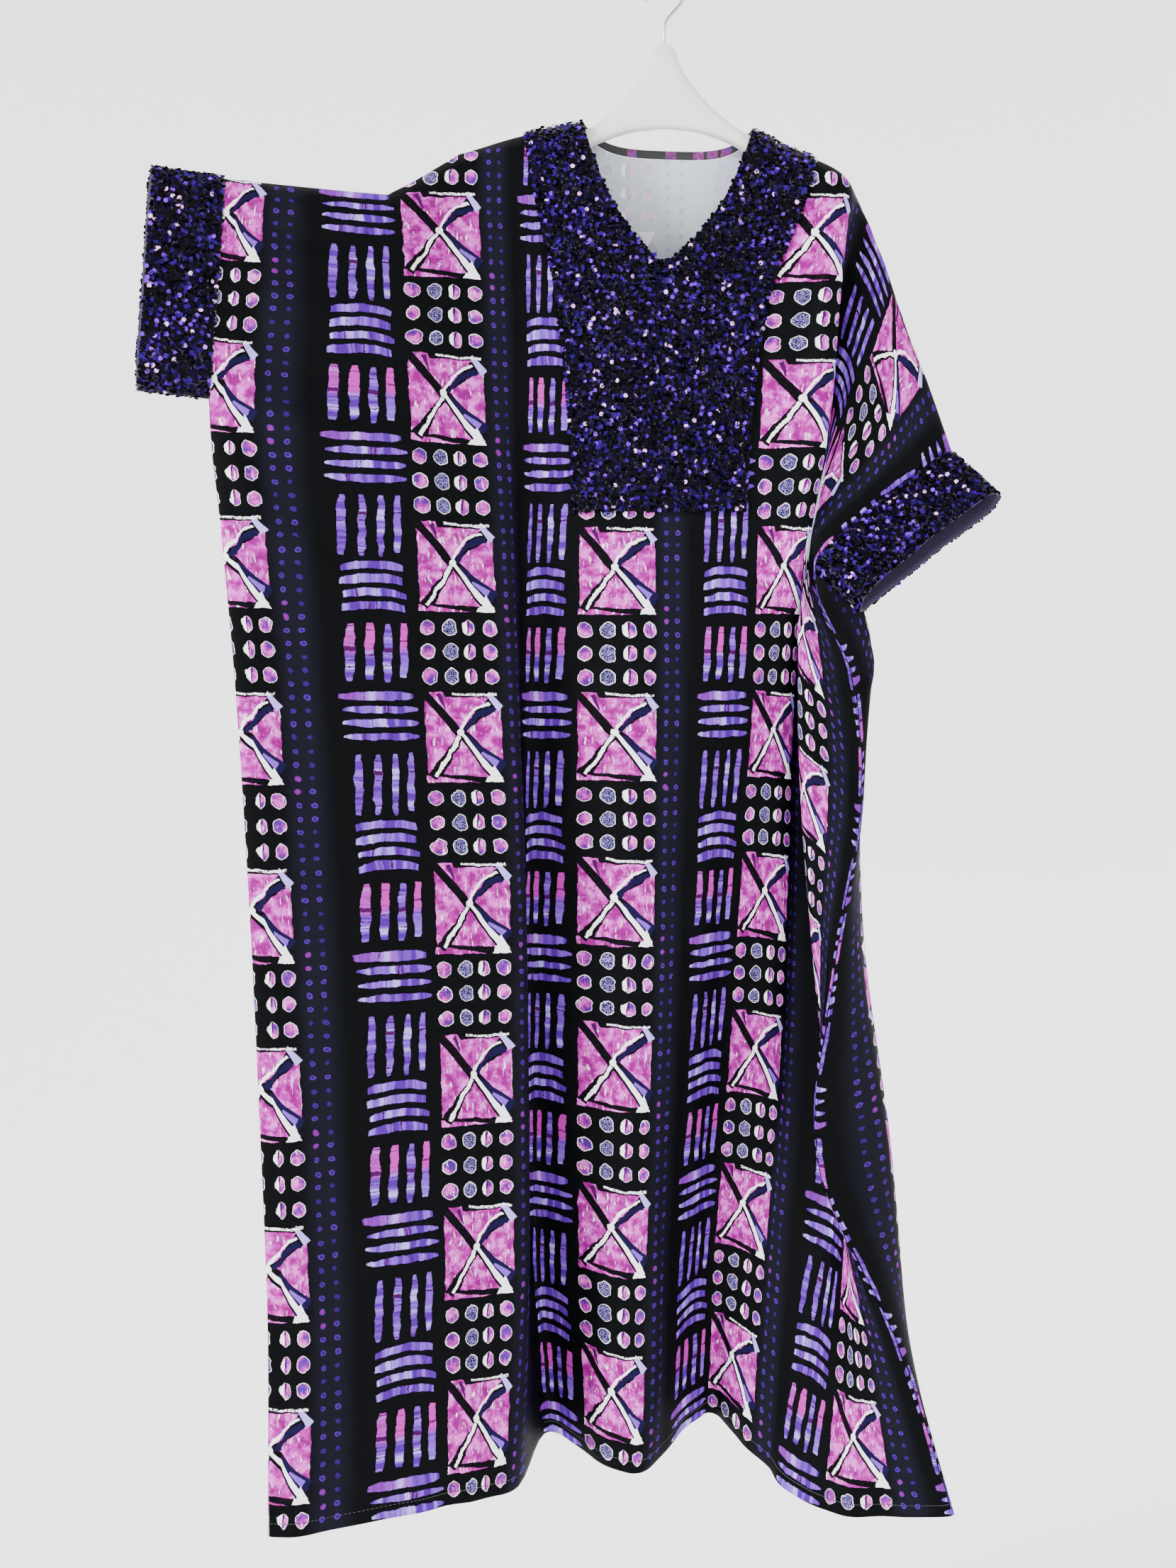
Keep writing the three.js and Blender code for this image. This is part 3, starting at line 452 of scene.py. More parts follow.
def grid_mesh(name, points, places):
    columns, rows = points.shape[:2]
    bm = bmesh.new()
    bmesh.ops.create_grid(bm, x_segments=columns - 1, y_segments=rows - 1, size=1)
    uv_map = bm.loops.layers.uv.new("cloth")
    corner = {}
    for vert in bm.verts:
        column = round((vert.co.x + 1) / 2 * (columns - 1))
        row = round((1 - vert.co.y) / 2 * (rows - 1))
        corner[vert] = places[column, row]
        vert.co = points[column, row]
    for face in bm.faces:
        face.smooth = True
        for loop in face.loops:
            loop[uv_map].uv = corner[loop.vert]
    return mesh_piece(name, bm)


def thicken(piece, thickness, inner_material=0):
    solidify = piece.modifiers.new("thickness", "SOLIDIFY")
    solidify.thickness = thickness
    solidify.offset = 0
    solidify.material_offset = inner_material
    solidify.material_offset_rim = 0


# %% [markdown]
# The grid's columns stand closer where the cloth turns sharply. Its rows are close together over
# the shoulder, where the cloth bends round the hanger, and even below it. The back's print runs
# upwards, as the cloth is one length, and starts so that its blocks show in the neck as they do in
# the photograph.

# %% Columns, rows and necklines
COLUMN_MARKS = [-455, -443, -298, -228, -152, -85, -68, 0, 68, 85, 152, 185, 270, 395, 455]
COLUMN_COUNTS = [5, 22, 13, 13, 12, 5, 12, 12, 5, 12, 7, 20, 24, 14]
FOLD_ROWS = 16
FOLD_ROW_POWER = 1.6
SLEEVE_ROWS = 34
BODY_ROWS = 130
BACK_PRINT_START = 263


def columns_across():
    columns = []
    for low, high, count in zip(COLUMN_MARKS, COLUMN_MARKS[1:], COLUMN_COUNTS):
        columns.extend(np.linspace(low, high, count, endpoint=False))
    return np.array([*columns, COLUMN_MARKS[-1]])


def front_neck(u):
    r = np.minimum(1, np.abs(u) / NECK_HALF_WIDTH)
    neck = NECK_V_DEPTH * (1 - NECK_V_STRAIGHT * r - (1 - NECK_V_STRAIGHT) * r**NECK_V_POWER)
    return np.maximum(neck, shoulder_fold(u))


def back_neck(u):
    r = np.minimum(1, np.abs(u) / NECK_HALF_WIDTH)
    return BACK_NECK_DROP * (1 - r**BACK_NECK_POWER) + shoulder_fold(u)


def row_heights(top, bottom=DRESS_LENGTH):
    bent = np.linspace(0, 1, FOLD_ROWS, endpoint=False) ** FOLD_ROW_POWER
    fold = top[:, None] + FOLD_HEIGHT * bent
    start = top[:, None] + FOLD_HEIGHT
    sleeve = start + (ARMHOLE_BOTTOM - start) * np.linspace(0, 1, SLEEVE_ROWS, endpoint=False)
    body = np.linspace(ARMHOLE_BOTTOM, bottom, BODY_ROWS) + 0 * top[:, None]
    return np.concatenate([fold, sleeve, body], axis=1)


def cloth_normals(panel, u, v):
    """Outward: crossing the way down the cloth with the way across it."""
    turn = -1 if panel is BACK else 1
    across = (cloth_point(panel, u + 1, v) - cloth_point(panel, u - 1, v)) * turn
    down = cloth_point(panel, u, v + 1) - cloth_point(panel, u, v - 1)
    normal = np.cross(down, across)
    return normal / np.linalg.norm(normal, axis=1, keepdims=True)


def place_on(panel, u, v, lift=0.0):
    """Points on a panel with its creases, lifted off it, and its outward normals."""
    shape = u.shape
    u, v = u.ravel(), v.ravel()
    normals = cloth_normals(panel, u, v)
    away_from_fold = np.clip((v - shoulder_fold(u)) / FOLD_HEIGHT, 0, 1)
    height = crease_height(panel, u, v) * away_from_fold + lift
    points = cloth_point(panel, u, v) + normals * height[:, None]
    return points.reshape(*shape, 3) * MILLIMETRE, normals.reshape(*shape, 3)


def panel_piece(panel, name, neck):
    columns = columns_across()
    if panel is BACK:
        columns = columns[::-1]
    v = row_heights(neck(columns))
    u = np.repeat(columns[:, None], v.shape[1], axis=1)
    points = place_on(panel, u, v)[0]
    down = BACK_PRINT_START - v if panel is BACK else v
    return grid_mesh(name, points, np.stack([u, down], axis=-1) * MILLIMETRE)


front = panel_piece(FRONT, "front_cloth", front_neck)
back = panel_piece(BACK, "back_cloth", back_neck)
print("faces:", len(front.data.polygons), "front,", len(back.data.polygons), "back")

# %% [markdown]
# ## Writing materials
# A node material is a sum written as boxes and wires. Long patterns are easier to read as sums, so
# this small class lets nodes be added and multiplied like numbers.

# %% Numbers that become nodes
def operator(operation, swapped=False):
    """A method of Field that adds one Math node."""
    def apply(*values):
        return Field.math(operation, *(values[::-1] if swapped else values))
    return apply


class Field:
    """A number that varies over a surface: an output socket of a material's nodes."""

    tree = None

    def __init__(self, socket):
        self.socket = socket

    @classmethod
    def node(cls, kind, **settings):
        made = cls.tree.nodes.new(kind)
        for key, value in settings.items():
            setattr(made, key, value)
        return made

    @classmethod
    def math(cls, operation, *values, clamp=False):
        made = cls.node("ShaderNodeMath", operation=operation, use_clamp=clamp)
        for socket, value in zip(made.inputs, values):
            if isinstance(value, Field):
                cls.tree.links.new(value.socket, socket)
            else:
                socket.default_value = value
        return Field(made.outputs[0])

    __add__ = __radd__ = operator("ADD")
    __sub__ = operator("SUBTRACT")
    __rsub__ = operator("SUBTRACT", swapped=True)
    __mul__ = __rmul__ = operator("MULTIPLY")
    __truediv__ = operator("DIVIDE")
    abs = operator("ABSOLUTE")
    floor = operator("FLOOR")
    modulo = operator("FLOORED_MODULO")
    least = operator("MINIMUM")
    most = operator("MAXIMUM")

    def inside(self, softness=0.35):
        """1 where the number is above 0 and 0 where it is below, with a narrow soft edge."""
        return Field.math("MULTIPLY_ADD", self, 1 / softness, 0.5, clamp=True)


def cloth_uv():
    return Field.node("ShaderNodeUVMap", uv_map="cloth").outputs["UV"]


def object_place():
    return Field.node("ShaderNodeTexCoord").outputs["Object"]


def across_and_down(uv):
    parts = Field.node("ShaderNodeSeparateXYZ")
    Field.tree.links.new(uv, parts.inputs["Vector"])
    return Field(parts.outputs["X"]), Field(parts.outputs["Y"])


def roughen(shader, height, strength, distance):
    bump = Field.node("ShaderNodeBump")
    bump.inputs["Strength"].default_value = strength
    bump.inputs["Distance"].default_value = distance
    Field.tree.links.new(height.socket, bump.inputs["Height"])
    Field.tree.links.new(bump.outputs["Normal"], shader.inputs["Normal"])


def vector(x, y, z=0.0):
    made = Field.node("ShaderNodeCombineXYZ")
    for socket, value in zip(made.inputs, (x, y, z)):
        if isinstance(value, Field):
            Field.tree.links.new(value.socket, socket)
        else:
            socket.default_value = value
    return made.outputs[0]


def noise(place, scale, detail=2.0, roughness=0.5):
    made = Field.node("ShaderNodeTexNoise", noise_dimensions="3D")
    Field.tree.links.new(place, made.inputs["Vector"])
    made.inputs["Scale"].default_value = scale
    made.inputs["Detail"].default_value = detail
    made.inputs["Roughness"].default_value = roughness
    return Field(made.outputs["Fac"])


def chance(x, y, z=0.0):
    """A number from 0 to 1 that is the same wherever x, y and z are the same."""
    made = Field.node("ShaderNodeTexWhiteNoise", noise_dimensions="3D")
    Field.tree.links.new(vector(x, y, z), made.inputs["Vector"])
    return Field(made.outputs["Value"])


def blend(share, first, second):
    """The second colour over the first where share is 1. Colours are (r, g, b) or sockets."""
    made = Field.node("ShaderNodeMix", data_type="RGBA", clamp_factor=True)
    Field.tree.links.new(share.socket, made.inputs["Factor"])
    for key, colour in (("A", first), ("B", second)):
        socket = [s for s in made.inputs if s.name == key and s.type == "RGBA"][0]
        if isinstance(colour, tuple):
            socket.default_value = (*colour, 1)
        else:
            Field.tree.links.new(colour, socket)
    return [s for s in made.outputs if s.type == "RGBA"][0]


def new_material(name, **finish):
    """A material whose shader has these fixed values, with Field set to write its nodes."""
    material = bpy.data.materials.new(name)
    material.use_nodes = True
    Field.tree = material.node_tree
    shader = material.node_tree.nodes["Principled BSDF"]
    for key, value in finish.items():
        shader.inputs[key.replace("_", " ")].default_value = value
    return material, shader


print("material helpers are ready")

# %% [markdown]
# ## The print
# The cloth carries a traditional block pattern of the mud-cloth kind, redrawn here in its own round
# numbers. Strips run down the cloth and repeat every 200 mm across. One strip has crossed squares
# with three rows of pebbles between them, one has groups of four bars that lie and stand in turn,
# and one has a double row of dots. A picture could hold the pattern, but then it would blur up
# close. As sums it stays sharp, and every repeat can differ a little, as if painted.

# %% Print colours and sizes
BLACK = (0.0010, 0.0013, 0.0018)
SLATE = (0.0050, 0.0050, 0.0100)
NAVY = (0.0050, 0.0040, 0.0300)
PLUM = (0.0500, 0.0020, 0.0600)
MAGENTA = (0.2000, 0.0030, 0.1500)
PINK = (0.4200, 0.0220, 0.3400)
ROSE = (0.6600, 0.1150, 0.5700)
WHITE = (0.9500, 0.9000, 0.9600)
VIOLET = (0.0650, 0.0090, 0.2500)
LILAC = (0.1700, 0.0550, 0.5000)
PALE_BLUE = (0.3800, 0.3000, 0.8000)
DOT_VIOLET = (0.0200, 0.0050, 0.1000)

REPEAT_ACROSS = 200
SQUARE_CENTRE = 152
SQUARE_START = 75
SQUARE_REPEAT = 164
SQUARE_HALF_HEIGHT = 44
PEBBLE_COLUMN = 22
PEBBLE_ROW = 23.5
PEBBLE_RADIUS = 7.6
BAR_CENTRE = 72.5
BAR_START = 9
BAR_REPEAT = 123
BAR_HALF_STRIP = 36
STANDING_STEP = 15
STANDING_MIDDLE = 30
STANDING_SLANT = 0.05
LYING_START = 64.5
LYING_STEP = 13
ARCH_BEND = 0.0055
DOT_COLUMN = 12.3
DOT_ROW = 12.6

# %% [markdown]
# Every shape is a signed distance: above 0 inside it and below 0 outside. A straight side is a sum
# of x and y. A triangle is the least of its three sides, and a painted stroke is its half width
# less the distance from its middle line.

# %% Shapes for the print
def side(x, y, a, b):
    """Distance in mm to the left of the line from a to b, with y down the cloth."""
    dx, dy = b[0] - a[0], b[1] - a[1]
    length = math.hypot(dx, dy)
    nx, ny = dy / length, -dx / length
    return x * nx + y * ny - (a[0] * nx + a[1] * ny)


def distance(x, y):
    return Field.math("SQRT", x * x + y * y)


def tapered(along, half_length, most):
    """How much thinner a bar is, which is little until near its ends."""
    square = (along / half_length) * (along / half_length)
    return square * square * most


def triangle(x, y, a, b, c):
    """Corners in the order against the clock as they are seen."""
    return side(x, y, a, b).least(side(x, y, b, c)).least(side(x, y, c, a))


def stroke(x, y, a, b, width, end_width, bend=0):
    """A painted line from a to b, which bulges to its left by bend."""
    length = math.hypot(b[0] - a[0], b[1] - a[1])
    dx, dy = (b[0] - a[0]) / length, (b[1] - a[1]) / length
    along = x * dx + y * dy - (a[0] * dx + a[1] * dy)
    across = side(x, y, a, b)
    if bend:
        share = along / length
        across = across - share * (1 - share) * 4 * bend
    grow = (end_width - width) / length
    half_width = along * grow + width
    return (half_width - across.abs()).least(along).least(length - along)


class Painting:
    """Layers of colour over a ground, and where any of them lies."""

    def __init__(self, ground):
        self.colour = ground
        self.covered = None

    def add(self, shape, colour):
        self.add_mask(shape.inside(), colour)

    def add_mask(self, mask, colour):
        self.colour = blend(mask, self.colour, colour)
        self.covered = mask if self.covered is None else self.covered.most(mask)


# %% [markdown]
# The paint is not flat either. Pinks run into one another and into white like watercolour, and the
# violet bars have pale bands across them with thin dark ticks.

# %% Watercolour
def watercolour(place_x, place_y, deep, middle, light):
    """Three colours that run into one another over about 10 mm."""
    place = vector(place_x, place_y)
    wash = noise(place, 0.085, detail=3.0, roughness=0.6)
    colour = blend(((wash - 0.46) * 7).inside(1.0), deep, middle)
    colour = blend(((wash - 0.56) * 9).inside(1.0), colour, light)
    streak = noise(vector(place_x * 1.6, place_y * 0.35), 0.22, detail=2.0)
    return blend(((streak - 0.66) * 12).inside(1.0), colour, WHITE)


# Start, end, half width at the start and at the end, bulge to the left, and colour
SQUARE_LINES = [
    ((-25, -41), (-19, -26), 2.4, 0.6, 0, PLUM),
    ((3, 2), (40, 29), 3.6, 5.5, 0, NAVY),
    ((19, 15), (34, 26), 1.2, 3.4, 0, LILAC),
    ((28, -42), (40, -27), 2.0, 4.0, 0, PALE_BLUE),
    ((1, -5), (33, -27), 2.0, 3.4, 4, NAVY),
    ((-5, -4), (29, -33), 1.5, 1.3, 5, WHITE),
    ((-6, 1), (-34, 40), 3.6, 3.2, 0, BLACK),
    ((-6, 0), (-32, 38), 2.0, 1.6, 0, WHITE),
]
SQUARE_TOP_LINES = [
    ((-3, 2), (27, 38), 1.0, 1.2, 0, BLACK),
    ((-3, -3), (36, 42), 1.6, 3.6, 0, WHITE),
]


def lines(painting, x, y, rows):
    for *form, colour in rows:
        painting.add(stroke(x, y, *form), colour)


def squares(painting, across, down, fine):
    """A crossed square: triangles of colour, a knot, and painted lines between them."""
    x = across - SQUARE_CENTRE
    y = (down - SQUARE_START).modulo(SQUARE_REPEAT) - SQUARE_HALF_HEIGHT
    pinks = watercolour(across, down, MAGENTA, PINK, ROSE)
    corners = dict(
        top=((-21, -38), (-4, -6), (29, -38)),
        sliver=((-35, -43), (-6, -10), (-21, -43)),
        left=((-39, -36), (-39, 35), (-9, 0)),
        right=((40, -29), (2, -6), (40, 25)),
        bottom=((-5, 2), (-24, 36), (31, 39)),
        foot=((-40, 44), (14, 44), (-40, 37)),
    )
    for a, b, c in corners.values():
        painting.add(triangle(x, y, a, b, c), pinks)
    lines(painting, x, y, SQUARE_LINES)
    painting.add(triangle(x, y, (22, 44), (40, 44), (31, 27)), WHITE)
    lines(painting, x, y, SQUARE_TOP_LINES)
    knot = 3.8 - distance(x + 4, y + 4)
    painting.add(knot, WHITE)
    dashes = stroke(x, y, (-12, -42), (37, -41), 1.0, 1.2, bend=-1).least((fine - 0.44) * 20)
    painting.add(dashes, WHITE)
    scratches = (0.012 - (fine - 0.36).abs()) * 40
    in_square = (40 - x.abs()).least(42 - y.abs())
    painting.add(scratches.least(in_square), PLUM)


def pebbles(painting, across, down, fine):
    """Three rows of four uneven pebbles between one square and the next."""
    x = across - SQUARE_CENTRE + 2 * PEBBLE_COLUMN
    y = (down - SQUARE_START).modulo(SQUARE_REPEAT) - 2 * SQUARE_HALF_HEIGHT - 3
    column, row = (x / PEBBLE_COLUMN).floor(), (y / PEBBLE_ROW).floor()
    a = x.modulo(PEBBLE_COLUMN) - PEBBLE_COLUMN / 2
    b = y.modulo(PEBBLE_ROW) - PEBBLE_ROW / 2
    kind, shade = chance(column, row, 3), chance(column, row, 7)
    facets = a.abs().most(a.abs() * 0.5 + b.abs() * 0.87)
    round_part = distance(a, b)
    radius = PEBBLE_RADIUS - kind * 1.1 - (a * (kind - 0.5) * b.abs()) * 0.06
    within = (x + 2).least(4 * PEBBLE_COLUMN + 2 - x).least(y).least(3 * PEBBLE_ROW - y)
    pebble = (radius - facets * 0.45 - round_part * 0.55).least(within)
    painting.add(pebble, WHITE)
    body = (pebble - 0.25 - shade * 0.6).inside()
    painting.add_mask(body, watercolour(across, down, VIOLET, PINK, ROSE))
    dark = (0.5 - (column - 1).abs()).inside(0.1)
    painting.add_mask(body * dark, NAVY)
    half = (0.5 - (column - 2).abs()).least((a * 0.9 + b * 0.2 + 1).abs() * -1 + 1.1)
    painting.add(half.least(pebble), PLUM)
    pale = (0.5 - (column - 2).abs()).least(a * -1 - 2)
    painting.add(pale.least(pebble - 0.5), WHITE)
    scribble = (0.022 - (fine - 0.5).abs()) * 30
    painting.add(scribble.least(pebble - 1).least(dark - 0.5), PALE_BLUE)
    first = (0.5 - column.abs()).least(pebble - 1)
    painting.add(scribble.least(first), PLUM)


def bars(painting, across, down, fine):
    """Groups of four standing bars and four lying bars in turn. Every other pair is arched."""
    x = across - BAR_CENTRE
    pair = (down - BAR_START).modulo(2 * BAR_REPEAT)
    arched = (pair / BAR_REPEAT).floor()
    y = pair.modulo(BAR_REPEAT)
    strip = BAR_HALF_STRIP - x.abs()

    index = ((x + 2 * STANDING_STEP) / STANDING_STEP).floor()
    luck = chance(index, arched, 1)
    a = (x + 2 * STANDING_STEP).modulo(STANDING_STEP) - STANDING_STEP / 2
    a = a + (y - STANDING_MIDDLE) * STANDING_SLANT
    b = y - STANDING_MIDDLE + (luck - 0.5) * 5
    standing = (3.0 + luck - tapered(b, 29, 1.6) - a.abs()).least(29 - luck * 3 - b.abs())
    standing = standing.least(strip).least(y + 1).least(30.5 - (index - 1.5).abs() * 19)
    bar_colour(painting, standing, b, index + arched * 7, fine, pink=(luck - 0.6) * 8)

    lie = y - LYING_START - x * x * arched * ARCH_BEND + arched * 2
    index = (lie / LYING_STEP).floor()
    luck = chance(index, arched, 5)
    a = lie.modulo(LYING_STEP) - LYING_STEP / 2
    b = x + (luck - 0.5) * 5
    lying = 3.2 + luck * 1.3 - tapered(b, 33, 2.6) - a.abs()
    lying = lying.least(33 - arched * 6 - luck * 2 - b.abs())
    lying = lying.least(lie).least(4 * LYING_STEP - lie).least(strip + 2)
    bar_colour(painting, lying, b, index + arched * 9 + 31, fine, pink=(luck - 0.93) * 8)


def bar_colour(painting, bar, along, seed, fine, pink):
    band = noise(vector(along, seed * 13.7), 0.11, detail=2.0)
    colour = blend(((band - 0.47) * 9).inside(1.0), VIOLET, LILAC)
    colour = blend(((band - 0.61) * 10).inside(1.0), colour, PALE_BLUE)
    colour = blend((pink.least(along * -0.12)).inside(1.0), colour, PINK)
    painting.add(bar, colour)
    tick = noise(vector(along + fine * 2, seed * 5.3), 0.33, detail=0.0)
    ticks = (0.012 - (tick - 0.5).abs()) * 40
    painting.add(ticks.least(bar), PLUM)


def dots(painting, across, down):
    """A double row of small dots, now and then a magenta one."""
    x = (across + 2.2).modulo(REPEAT_ACROSS)
    column, row = (x / DOT_COLUMN).floor(), (down / DOT_ROW + x * 0.002).floor()
    a = x.modulo(DOT_COLUMN) - DOT_COLUMN / 2
    b = down.modulo(DOT_ROW) - DOT_ROW / 2
    luck = chance(column, row.modulo(13), 2)
    dot = luck * 0.7 + 2.0 - distance(a, b)
    dot = dot.least(2 * DOT_COLUMN - x)
    painting.add(dot, blend((luck - 0.9).inside(0.02), DOT_VIOLET, MAGENTA))
    ring = (0.45 - (dot - 0.5).abs()).least(luck - 0.55)
    painting.add(ring, VIOLET)


def printed():
    """Paints the whole pattern on the cloth's own u and v, and returns it."""
    uv = cloth_uv()
    u, v = across_and_down(uv)
    broad_x, broad_y = noise(uv, 75), noise(vector(v, 3.1), 60)
    fine = noise(uv, 480, detail=3.0)
    across = u * METRE + (broad_x - 0.5) * 5 + (fine - 0.5) * 1.6
    down = v * METRE + (broad_x - broad_y) * 4 + (fine - 0.5) * 1.6
    across = across.modulo(REPEAT_ACROSS)
    beside_dots = (15 - ((across + 90).modulo(REPEAT_ACROSS) - 100).abs()).inside(14)
    painting = Painting(blend(beside_dots, BLACK, SLATE))
    dots(painting, across, down)
    bars(painting, across, down, fine)
    pebbles(painting, across, down, fine)
    squares(painting, across, down, fine)
    return painting, uv


# %% [markdown]
# The cloth is a thin, smooth polyester that hardly shines. Its weave is finer than a pixel, so it
# only breaks up the light: a low bump of crossed threads about 0.5 mm apart. The wrong side is
# pale grey-blue, because the print only soaks part of the way through.

# %% Cloth materials
THREADS_PER_METRE = 1900
WEAVE_DEPTH = 0.00006


def weave_bump(uv, shader, strength):
    warp, weft = [
        Field.math("SINE", way * (THREADS_PER_METRE * 2 * math.pi))
        for way in across_and_down(uv)]
    roughen(shader, warp * weft + noise(uv, 900), strength, WEAVE_DEPTH)


def print_material():
    material, shader = new_material("printed_polyester", Roughness=0.6)
    shader.inputs["Specular IOR Level"].default_value = 0.04
    painting, uv = printed()
    Field.tree.links.new(painting.colour, shader.inputs["Base Color"])
    weave_bump(uv, shader, 0.35)
    return material


def wrong_side_material():
    material, shader = new_material("cloth_wrong_side", Roughness=0.8, Sheen_Weight=0.1)
    painting, uv = printed()
    shows = painting.covered * 0.8
    faded = blend(shows * 0.6, painting.colour, (0.82, 0.80, 0.88))
    worn = blend((noise(uv, 22) - 0.2).inside(1.2), (0.40, 0.47, 0.52), (0.50, 0.57, 0.61))
    Field.tree.links.new(blend(shows, worn, faded), shader.inputs["Base Color"])
    weave_bump(uv, shader, 0.5)
    return material


printed_cloth = print_material()
wrong_side = wrong_side_material()
for panel in (front, back):
    panel.data.materials.append(printed_cloth)
    panel.data.materials.append(wrong_side)
    thicken(panel, CLOTH_THICKNESS, inner_material=1)
print("nodes in the print:", len(printed_cloth.node_tree.nodes))

# %% [markdown]
# ## Sequins
# The yoke and the cuffs are net with sequins sewn close together. A sequin is a small cupped disc
# of coloured film, and no two lie at the same angle, so a few flash while most stay dark. Bump
# could fake the discs, but not their ragged edge. Here one sequin is made as a shallow cone of
# eight faces. Its corners are turned, tilted and moved to every place at once, as arrays, and all
# the sequins are one joined mesh. An attribute gives each its own dark violet, and to a random few
# a painted glint, bright violet on some and pinkish white on fewer.

# %% Sequin makers
SEQUIN_RADIUS = 0.0023
SEQUIN_SIDES = 8
SEQUIN_CUP = 0.0004
SEQUIN_SPACING = 3.3
SEQUIN_TILT = 0.3


def sequin_shape():
    """Corners and faces of one cupped sequin that faces +Z."""
    bm = bmesh.new()
    bmesh.ops.create_circle(
        bm, cap_ends=True, cap_tris=True, segments=SEQUIN_SIDES, radius=SEQUIN_RADIUS)
    middle = max(bm.verts, key=lambda vert: len(vert.link_edges))
    middle.co.z -= SEQUIN_CUP
    corners = np.array([vert.co for vert in bm.verts])
    faces = np.array([[vert.index for vert in face.verts] for face in bm.faces])
    bm.free()
    return corners, faces


def sequin_mesh(name, points, normals, seed):
    chooser = np.random.default_rng(seed)
    facing = normals + chooser.normal(0, SEQUIN_TILT, normals.shape)
    facing /= np.linalg.norm(facing, axis=1, keepdims=True)
    first = np.cross(facing, chooser.normal(0, 1, normals.shape))
    first /= np.linalg.norm(first, axis=1, keepdims=True)
    turns = np.stack([first, np.cross(facing, first), facing], axis=1)
    corners, faces = sequin_shape()
    places = points[:, None] + np.einsum("ij,njk->nik", corners, turns)
    joined = faces[None] + len(corners) * np.arange(len(points))[:, None, None]
    mesh = bpy.data.meshes.new(name)
    mesh.from_pydata(places.reshape(-1, 3).tolist(), [], joined.reshape(-1, 3).tolist())
    # Each sequin's random value picks its own dark violet, and for the highest few a painted glint.
    colour_and_glint = mesh.attributes.new("colour_and_glint", "FLOAT", "POINT")
    colour_and_glint.data.foreach_set("value", np.repeat(chooser.random(len(points)), len(corners)))
    print(name, "sequins:", len(points), "faces:", len(mesh.polygons))
    return link_mesh(name, mesh)


def sequin_material():
    material, shader = new_material("violet_sequins", Roughness=0.32)
    shader.inputs["Specular IOR Level"].default_value = 0.05
    shade = Field(Field.node("ShaderNodeAttribute", attribute_name="colour_and_glint").outputs["Fac"])
    colour = blend((shade - 0.62).inside(0.1), (0.0004, 0.0001, 0.0014), (0.003, 0.0004, 0.018))
    colour = blend((shade - 0.86).inside(0.05), colour, (0.022, 0.001, 0.15))
    # The two brightest steps, bright violet and pinkish white, are painted glints on a random few
    # sequins; the darker steps are the sequins' own colour.
    colour = blend((shade - 0.955).inside(0.02), colour, (0.15, 0.008, 0.60))
    colour = blend((shade - 0.986).inside(0.006), colour, (0.90, 0.45, 0.95))
    Field.tree.links.new(colour, shader.inputs["Base Color"])
    return material


def net_material():
    material, shader = new_material("black_net", Roughness=0.7, Sheen_Weight=0.1)
    uv = cloth_uv()
    colour = blend((noise(uv, 700) - 0.5).inside(0.2), (0.004, 0.002, 0.010), (0.02, 0.006, 0.06))
    Field.tree.links.new(colour, shader.inputs["Base Color"])
    weave_bump(uv, shader, 0.6)
    return material


violet_sequins = sequin_material()
black_net = net_material()

# %% [markdown]
# ## The yoke
# The yoke is a long panel over the chest, wide on the shoulders and narrower below, with the V of
# the neck cut into it. It lies on the front, so its points are the front's own, moved out by the
# thickness of both cloths.

# %% Yoke
YOKE_LIFT = 2.2
YOKE_COLUMNS = 84
YOKE_ROWS = 84
NET_THICKNESS = 0.001
SEQUIN_LIFT = 3.6


def yoke_half(v):
    return np.interp(v, YOKE_OUTLINE["v"], YOKE_OUTLINE["half"])


def yoke_top(share):
    v = np.zeros(len(share))
    for _ in range(60):
        v = 0.5 * v + 0.5 * np.where(
            np.abs(share * yoke_half(v)) < NECK_HALF_WIDTH,
            front_neck(share * yoke_half(v)), shoulder_fold(share * yoke_half(v)))
    return v


def yoke_net():
    share = np.linspace(-1, 1, YOKE_COLUMNS)
    top = yoke_top(share)
    down = np.concatenate([np.linspace(0, 0.08, 14) , np.linspace(0.08, 1, YOKE_ROWS)[1:]])
    v = top[:, None] + (YOKE_BOTTOM - top)[:, None] * down
    u = share[:, None] * yoke_half(v)
    points = place_on(FRONT, u, v, YOKE_LIFT)[0]
    return grid_mesh("yoke_net", points, np.stack([u, v], axis=-1) * MILLIMETRE)


def yoke_sequins():
    chooser = np.random.default_rng(11)
    places = []
    for row, v in enumerate(np.arange(2, YOKE_BOTTOM + 2, SEQUIN_SPACING * 0.92)):
        half = yoke_half(v)
        count = int(2 * half / SEQUIN_SPACING) + row % 2
        u = np.linspace(-half, half, count)
        top = np.where(np.abs(u) < NECK_HALF_WIDTH, front_neck(u), shoulder_fold(u))
        keep = v > top - 0.5
        places.extend((value, v) for value in u[keep])
    places = np.array(places) + chooser.normal(0, 0.55, (len(places), 2))
    lift = SEQUIN_LIFT + chooser.uniform(-0.5, 0.7, len(places))
    return place_on(FRONT, places[:, 0], places[:, 1], lift)


yoke = yoke_net()
yoke.data.materials.append(black_net)
thicken(yoke, NET_THICKNESS)
yoke_discs = sequin_mesh("yoke_sequins", *yoke_sequins(), seed=5)
yoke_discs.data.materials.append(violet_sequins)

# %% [markdown]
# ## The cuffs
# Each sleeve ends in a band of the same sequins. It is a flattened tube that carries the sleeve's
# opening on, so it starts as the ring of points at the sleeve's end and is drawn out along the
# sleeve. The ring's first and last columns are the same place, and they are merged.

# %% Cuffs
CUFF_ROWS = 14
CUFF_START = 0.8
CUFF_ROUNDING = 8
CUFF_LIFT = 1.4


